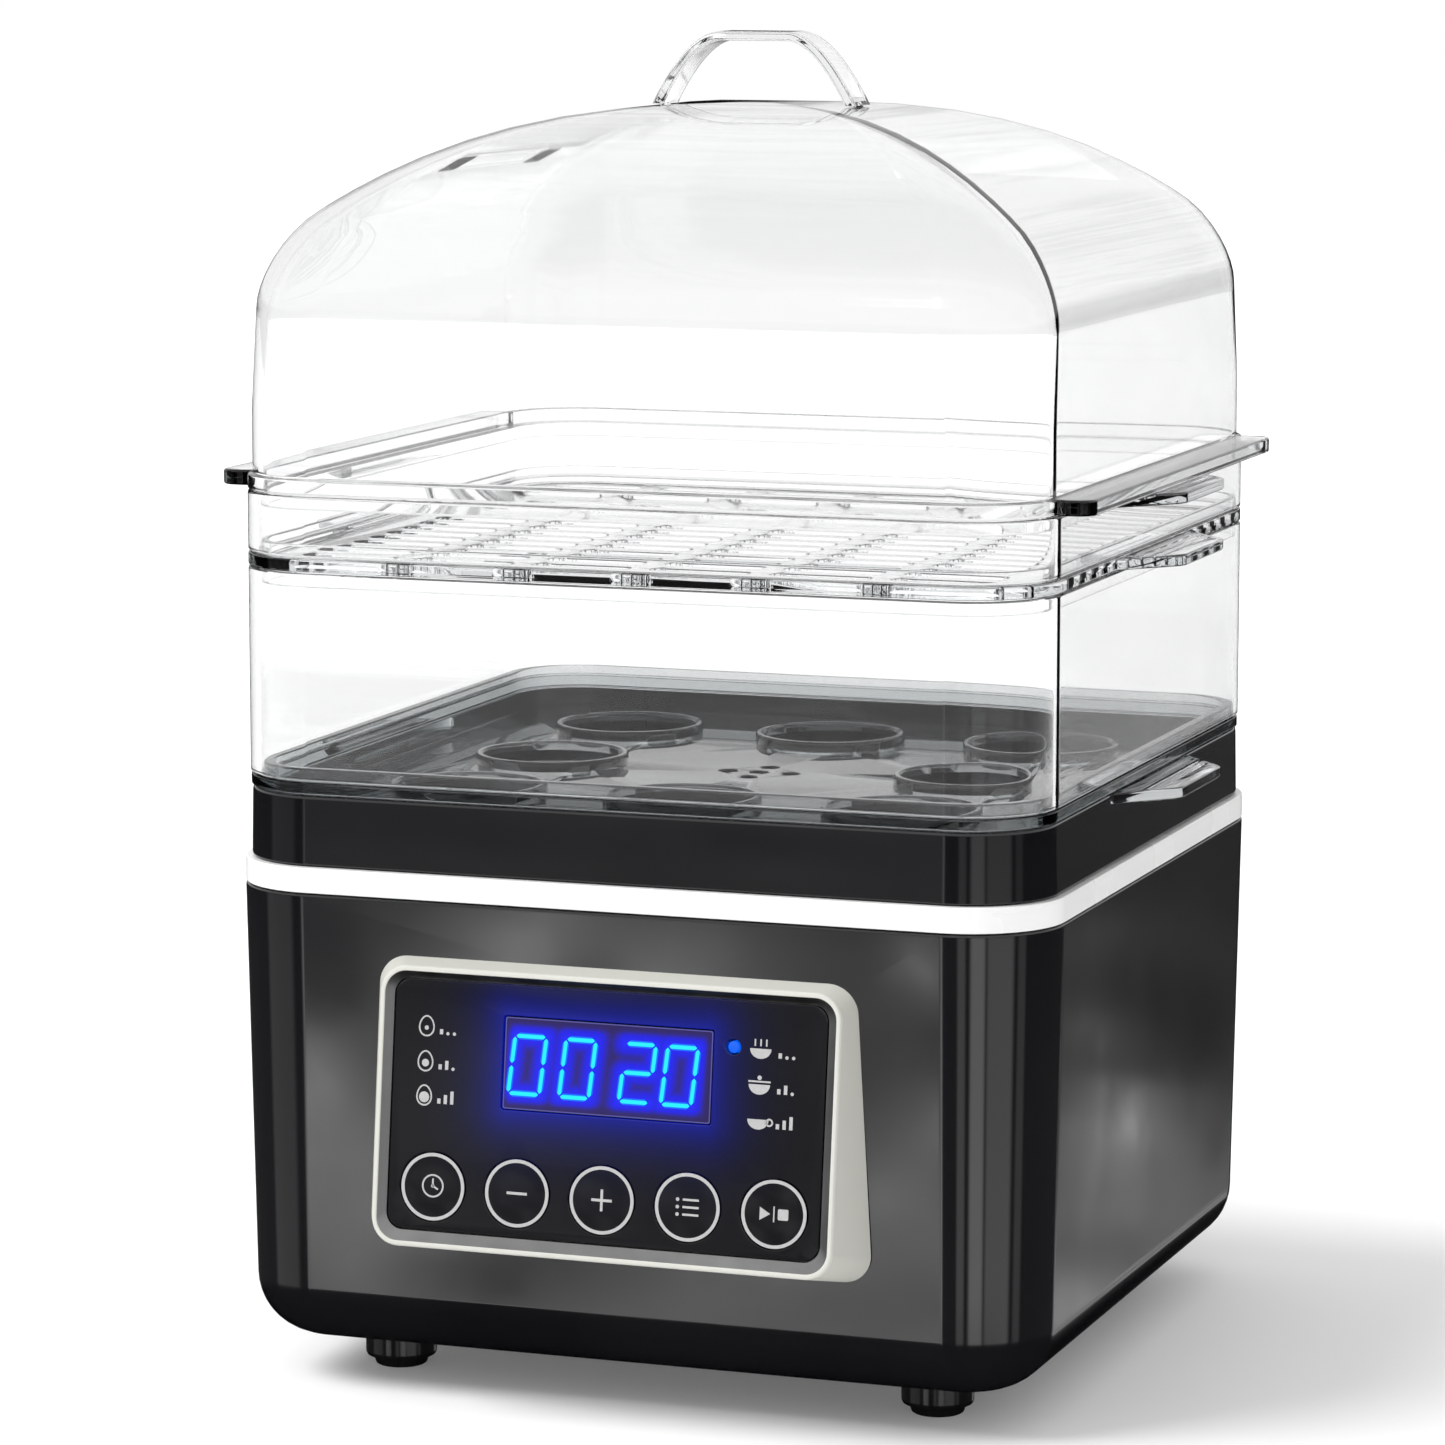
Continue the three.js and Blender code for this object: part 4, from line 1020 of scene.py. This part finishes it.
def make_keys(black):
    face = OVERLAY_FACE - MARK_HIGH
    back = OVERLAY_FACE - OVERLAY_THICK - 0.5
    stem = -OVERLAY_THICK - 1.2 - 2.8
    profile = [(0.3, stem), (1.8, stem), (1.8, back - 1.2), (KEY_R + 0.7, back - 1.2),
        (KEY_R + 0.8, back - 1.0), (KEY_R + 0.7, back), (KEY_R, back), (KEY_R, face - 0.35),
        (KEY_R - 0.1, face - 0.1), (KEY_R - 0.35, face), (0.3, face - 0.02)]
    for index, mark in enumerate(KEY_MARKS):
        name = f"key_{index + 1}"
        cap = on_panel(round_turned(name + "_cap", profile, black, 56, (key_u(index), KEY_V, 0)))
        settle(cap, name + "_body", "black_gloss", name)
        bm = bmesh.new()
        pen = Pen(bm, face - 0.05, face + MARK_HIGH)
        pen.ring(circle(KEY_R - 0.1, 72), circle(KEY_R - 0.88, 72))
        mark(pen)
        bmesh.ops.translate(bm, verts=bm.verts, vec=(key_u(index), KEY_V, 0))
        settle(on_panel(from_bmesh(name + "_mark", bm, PRINT_GREY)), name + "_body", "bezel_grey")


ICON = 1.7            # size of the mode pictograms
LABEL_ROWS = (20.2, 12.1, 4.2)
EGG_U, VESSEL_U = -44.6, 36.9
BARS_U, BAR_PITCH = (-40.9, 41.6), 1.6


def egg_icon(pen, u, v, yolk):
    """An egg outline with a yolk of the given size: how firm the egg will be."""
    shape = [(u + ICON * 1.15 * math.cos(a) * (1 - 0.12 * math.sin(a)),
        v + ICON * 1.45 * math.sin(a)) for a in (2 * math.pi * i / 36 for i in range(36))]
    inner = [(u + (x - u) * 0.82, v + (y - v) * 0.85) for x, y in shape]
    pen.ring(shape, inner)
    pen.disc(yolk * ICON, 24, (u, v - 0.25 * ICON))


def vessel_icon(pen, u, v, kind):
    """A steaming bowl, a lidded pot or a cup."""
    def at(x, y):
        return u + x * ICON, v + y * ICON

    arc = [at(1.5 * math.cos(a), 0.1 + 1.35 * math.sin(a)) for a in (-math.pi * i / 20 for i in range(21))]
    pen.shape(arc[::-1])
    if kind == 0:
        for x in (-0.8, 0.0, 0.8):
            pen.line([at(x, 0.5), at(x, 1.3)], 0.35)
    elif kind == 1:
        pen.line([at(-1.5, 0.48), at(1.5, 0.48)], 0.4)
        pen.disc(0.3 * ICON, 16, at(0, 1.0))
    else:
        handle = at(1.6, -0.25)
        pen.ring(circle(0.55 * ICON, 20, handle), circle(0.32 * ICON, 20, handle))


def make_labels():
    bm = bmesh.new()
    pen = Pen(bm, OVERLAY_FACE - 0.05, OVERLAY_FACE + MARK_HIGH)
    for row, v in enumerate(LABEL_ROWS):
        egg_icon(pen, EGG_U, v, 0.3 + 0.22 * row)
        vessel_icon(pen, VESSEL_U, v, row)
        for count in range(3):
            for u in BARS_U:
                bar = (u + BAR_PITCH * count, v - 1.5)
                tall = 0.7 + 0.9 * count
                if count <= row:
                    pen.line([bar, (bar[0], bar[1] + tall)], 0.8)
                else:
                    pen.disc(0.4, 14, bar)
    settle(on_panel(from_bmesh("mode_icons", bm, PRINT_GREY)), "base", "bezel_grey")


def make_panel():
    black = panel_black()
    make_bezel()
    make_overlay(black)
    make_window()
    make_glow()
    make_digits()
    make_led()
    make_labels()
    make_keys(black)


# ---- clear tiers --------------------
TIER_HALF, TIER_WALL = 98.6, 2.4
LIP_HALF = TIER_HALF - TIER_WALL - 0.6
LIP_WALL = 1.6
TAB_ROOT, TAB_TIP, TAB_REACH, TAB_THICK = 33.0, 18.0, 12.4, 2.7
GROOVES, GROOVE_HALF, GROOVE_DEEP = (3.2, 5.6, 8.0), 0.55, 0.7     # finger grooves across the tabs


def mirrored(points, side):
    """An outline drawn for the right side, on the given side."""
    points = points if side > 0 else [(-x, y) for x, y in points][::-1]
    return [(x, y + CENTRE_Y) for x, y in points]


def clear_piece(piece, body, node):
    piece.visible_shadow = False
    return settle(piece, body, "clear_plastic", node)


def corner_round(points, radius, steps=6):
    """A polygon with each corner turned into an arc."""
    out = []
    count = len(points)
    for i in range(count):
        here, before, after = (Vector(points[k % count]) for k in (i, i - 1, i + 1))
        reach = min(radius, (before - here).length * 0.45, (after - here).length * 0.45)
        start = here + (before - here).normalized() * reach
        end = here + (after - here).normalized() * reach
        for step in range(steps + 1):
            out.append(tuple(bent(start, here, end, step / steps)))
    return out


def add_tabs(piece, top, inner):
    """Joins a grooved grip tab on to each side of a clear piece."""
    for side in (-1, 1):
        def outline(grow, side=side):
            tip = TIER_HALF + TAB_REACH + grow
            corners = [(inner - grow, -TAB_ROOT - grow), (TIER_HALF - 1, -TAB_ROOT - grow),
                (tip, -TAB_TIP - grow), (tip, TAB_TIP + grow), (TIER_HALF - 1, TAB_ROOT + grow),
                (inner - grow, TAB_ROOT + grow)]
            return mirrored(corner_round(corners, 2.2), side)
        tab = plate("tab_tool", outline, [], top - TAB_THICK, top, 0.5, CLEAR)
        slope = (TAB_ROOT - TAB_TIP) / TAB_REACH
        for offset in GROOVES:
            x = side * (TIER_HALF + offset)
            reach = TAB_ROOT - offset * slope - 3
            groove = block("groove_tool", (x - GROOVE_HALF, CENTRE_Y - reach, top - GROOVE_DEEP),
                (x + GROOVE_HALF, CENTRE_Y + reach, top + 1), 0.25, CLEAR)
            swap_mesh(tab, "DIFFERENCE", groove)
        swap_mesh(piece, "UNION", tab)


SEAT_PITCH, SEAT_R = 54.0, 17.0
EGG_FLOOR, EGG_FLOOR_TOP, SEAT_TOP = 134.6, 137.0, 139.4


def make_egg_tray():
    rim_low, rim_high = COLLAR_TOP + SEAM, EGG_TRAY_TOP - SEAM
    inside = LIP_HALF - LIP_WALL - 1
    section = eased([(inside - 1, EGG_FLOOR_TOP, 0), (inside, EGG_FLOOR_TOP, 1.0),
        (inside, rim_high + 3, 0.5), (LIP_HALF, rim_high + 3, 0.5), (LIP_HALF, rim_high, 0.4),
        (COLLAR_HALF, rim_high, 0.6), (COLLAR_HALF, rim_low, 0.4), (WELL_HALF - 0.4, rim_low, 0.4),
        (WELL_HALF - 0.4, EGG_FLOOR, 1.0), (WELL_HALF - 2, EGG_FLOOR, 0)])
    holes = []
    for column in (-1, 0, 1):
        for row in (-1, 0, 1):
            if column == 0 and row == 0:
                continue
            walls = [(1.8, EGG_FLOOR_TOP), (1.8, SEAT_TOP - 0.5), (1.4, SEAT_TOP), (0.5, SEAT_TOP),
                (0.0, SEAT_TOP - 0.6), (0.0, EGG_FLOOR)]
            holes.append((centred_circle(SEAT_R, 48, column * SEAT_PITCH, row * SEAT_PITCH), walls))
    for x, y in ((0, 0), (8, 0), (-8, 0), (0, 8), (0, -8)):
        holes.append((centred_circle(2.4, 20, x, y), [(0.3, EGG_FLOOR_TOP), (0.0, EGG_FLOOR_TOP - 0.3),
            (0.0, EGG_FLOOR)]))
    piece = tray("clear_egg_tray", section, holes, SMOKY)
    add_tabs(piece, COLLAR_TOP - SEAM, WELL_HALF - 1.6)
    clear_piece(piece, "egg_tray_body", "egg_tray")


def tier_profile(low, high):
    low, high = low + SEAM, high - SEAM
    inside = TIER_HALF - TIER_WALL
    return eased([(inside, low, 0.4), (TIER_HALF, low, 0.6), (TIER_HALF, high, 0.6), (inside, high, 0.4)])


def make_lower_tier():
    piece = square_turned("clear_lower_tier", tier_profile(EGG_TRAY_TOP, LOWER_TIER_TOP), CLEAR)
    clear_piece(piece, "lower_tier_body", "lower_tier")


SLOT_COLUMNS, SLOT_ROWS, SLOT_PITCH_X, SLOT_PITCH_Y, SLOT_LONG, SLOT_WIDE = 6, 17, 29.0, 10.2, 24.0, 5.2
STEAM_FLOOR = 2.2


def make_steam_tray():
    low, high = LOWER_TIER_TOP + SEAM, STEAM_TRAY_TOP - SEAM
    inside = LIP_HALF - LIP_WALL
    section = eased([(inside - 1, low + STEAM_FLOOR, 0), (inside, low + STEAM_FLOOR, 0.8),
        (inside, high + 3, 0.4), (LIP_HALF, high + 3, 0.4), (LIP_HALF, high, 0.4), (TIER_HALF, high, 0.6),
        (TIER_HALF, low, 0.6), (LIP_HALF, low, 0.3), (LIP_HALF, low - 3.8, 0.4), (inside, low - 3.8, 0.4),
        (inside, low, 0.5), (inside - 1, low, 0)])
    walls = [(0.35, low + STEAM_FLOOR), (0.1, low + STEAM_FLOOR - 0.1), (0.0, low + STEAM_FLOOR - 0.35),
        (0.0, low)]
    holes = []
    for column in range(SLOT_COLUMNS):
        for row in range(SLOT_ROWS):
            x = (column - (SLOT_COLUMNS - 1) / 2) * SLOT_PITCH_X
            y = (row - (SLOT_ROWS - 1) / 2) * SLOT_PITCH_Y + CENTRE_Y
            outline = lambda grow, x=x, y=y: rounded_rect(SLOT_LONG / 2 + grow, SLOT_WIDE / 2 + grow,
                SLOT_WIDE / 2 + grow, 6, (x, y))
            holes.append((outline, walls))
    piece = tray("clear_steam_tray", section, holes, CLEAR)
    add_tabs(piece, high - 0.4, LIP_HALF - 0.8)
    clear_piece(piece, "steam_tray_body", "steam_tray")


def make_upper_ring():
    piece = square_turned("clear_upper_ring", tier_profile(STEAM_TRAY_TOP, UPPER_RING_TOP), CLEAR)
    add_tabs(piece, UPPER_RING_TOP - 0.3, TIER_HALF - 1.4)
    clear_piece(piece, "upper_ring_body", "upper_ring")


# ---- lid --------------------
LID_HALF, LID_WALL, SHOULDER_HALF, SHOULDER_ROUND = 97.4, 2.4, 97.0, 11.9
ROOF_TOP, ROOF_DROP, ROOF_POWER, ROOF_CORNER = 299.2, 34.0, 2.67, 1.65
ROOF_HALVES = [97, 96.8, 96.2, 95.2, 93.8, 92, 89.8, 87, 83, 78, 72, 65, 57, 48, 38, 27, 16, 6]
WING_ROOT, WING_HALF, WING_LONG = 96.0, 106.5, 81.0
WALL_TOP = 230.0      # where the straight wall hands over to the roof's loops
VENT_X, VENT_Y, VENT_HALF = -67.0, 27.5, (3.2, 5.35)
PEG_X, HANDLE_OUTER, HANDLE_FLAT, HANDLE_TOP, HANDLE_WIDE, HANDLE_THICK = 24.4, 25.8, 9.0, 316.0, 12.0, 2.2
HANDLE_BEND = 8.8     # how far in from the foot each side of the arch aims


def roof_height(half):
    curve = ROOF_TOP - ROOF_DROP * (half / SHOULDER_HALF) ** ROOF_POWER
    past = max(0.0, half - (SHOULDER_HALF - SHOULDER_ROUND))
    return curve - (SHOULDER_ROUND - math.sqrt(max(0.0, SHOULDER_ROUND ** 2 - past ** 2)))


def roof_loops(inset, drop):
    loops = []
    for half in ROOF_HALVES:
        scaled = half * (SHOULDER_HALF - inset) / SHOULDER_HALF
        corner = max(0.6, 22.5 * (half / SHOULDER_HALF) ** ROOF_CORNER - inset)
        points = rounded_rect(scaled, scaled, corner, PLAN_STEPS, (0.0, CENTRE_Y))
        loops.append([(x, y, roof_height(half) - drop) for x, y in points])
    return loops


def make_lid():
    low = UPPER_RING_TOP + SEAM
    inside = LIP_HALF - LIP_WALL
    wall_in = LID_HALF - LID_WALL
    section = eased([(wall_in, WALL_TOP, 0), (wall_in, low, 0.4), (inside, low, 0.4),
        (inside, low - 3.6, 0.4), (LIP_HALF, low - 3.6, 0.4), (LIP_HALF, low, 0.3), (TIER_HALF, low, 0.6),
        (TIER_HALF, FLANGE_TOP, 0.6), (LID_HALF, FLANGE_TOP, 0.8), (LID_HALF, WALL_TOP, 0)])
    lower = [[(x, y, z) for x, y in plan(half)] for half, z in section]
    loops = roof_loops(LID_WALL, LID_WALL)[::-1] + lower + roof_loops(0, 0)
    bm = bmesh.new()
    rings = add_rings(bm, loops)
    fan(bm, rings[0])
    fan(bm, rings[-1])
    lid = from_bmesh("clear_lid", bm, CLEAR)
    for side in (-1, 1):
        def outline(grow, side=side):
            root, tip, end = WING_ROOT - grow, WING_HALF + grow, WING_LONG + grow
            return mirrored(corner_round([(root, -end), (tip, -end), (tip, end), (root, end)], 6.5), side)
        swap_mesh(lid, "UNION", plate("wing_tool", outline, [], low, FLANGE_TOP, 0.6, CLEAR))
        half_x, half_y = VENT_HALF
        y = side * VENT_Y + CENTRE_Y
        vent = block("vent_tool", (VENT_X - half_x, y - half_y, 270), (VENT_X + half_x, y + half_y, 300), 1.0,
            CLEAR)
        swap_mesh(lid, "DIFFERENCE", vent)
    clear_piece(lid, "lid_body", "lid")


def make_handle():
    seat = roof_height(PEG_X) + 0.3
    crown = HANDLE_TOP
    under = crown - HANDLE_THICK
    bend = HANDLE_OUTER - HANDLE_BEND
    steps = 14
    outer, inner = [], []
    for step in range(steps + 1):
        t = step / steps
        outer.append(bent(Vector((HANDLE_OUTER, seat)), Vector((bend, crown - 0.5)),
            Vector((HANDLE_FLAT, crown)), t))
        inner.append(bent(Vector((HANDLE_OUTER - 1.3 * HANDLE_THICK, seat)),
            Vector((bend - 0.7 * HANDLE_THICK, under - 0.5)), Vector((HANDLE_FLAT - 0.8, under)), t))
    outer += [Vector((-p.x, p.y)) for p in outer[::-1]]
    inner += [Vector((-p.x, p.y)) for p in inner[::-1]]
    loops = []
    for out, back in zip(outer, inner):
        middle = (out + back) / 2
        across = (out - back) / 2
        section = rounded_rect(HANDLE_WIDE / 2, across.length, 0.9, 5)
        unit = across.normalized()
        loops.append([(middle.x + unit.x * v, CENTRE_Y + u, middle.y + unit.y * v) for u, v in section])
    bm = bmesh.new()
    rings = add_rings(bm, loops)
    bm.faces.new(rings[0])
    bm.faces.new(rings[-1])
    handle = from_bmesh("clear_handle", bm, CLEAR)
    for side in (-1, 1):
        shape = [(0.2, seat - 5), (1.0, seat - 5), (1.3, seat - 4.6), (1.3, seat + 1), (0.2, seat + 1)]
        peg = round_turned("peg_tool", shape, CLEAR, 20, (side * PEG_X, CENTRE_Y, 0))
        swap_mesh(handle, "UNION", peg)
    clear_piece(handle, "lid_body", "lid_handle")


# ---- finishes of the CAD pieces that stay in sight when the housing is opened --------------------
CAD_FINISH = {"cover_screw": SCREW_STEEL, "heater_spreader": ALUMINIUM, "heating_element": SCREW_STEEL,
    "heater_terminal": COPPER, "heat_shield": ALUMINIUM, "shield_post": SCREW_STEEL,
    "thermostat": DARK_PLASTIC, "thermal_fuse": SILICONE, "display_module": DARK_PLASTIC,
    "control_board": BOARD_GREEN, "tact_switch": DARK_PLASTIC, "board_bracket": DARK_PLASTIC,
    "power_board": BOARD_GREEN, "relay": BLUE_PLASTIC, "transformer": DARK_PLASTIC, "capacitor": DARK_PLASTIC,
    "buzzer": RUBBER, "terminal_block": BLUE_PLASTIC, "cord_gland": RUBBER}


def dress_cad():
    """Gives every CAD node that stays in sight its finish."""
    for name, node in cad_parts.items():
        for start, material in CAD_FINISH.items():
            if name.startswith(start):
                for index in range(len(node.material_slots)):
                    node.material_slots[index].material = material


make_camera()
make_stage()
make_base()
make_cover()
make_feet()
make_band()
make_collar()
make_plate()
make_panel()
make_egg_tray()
make_lower_tier()
make_steam_tray()
make_upper_ring()
make_lid()
make_handle()
dress_cad()
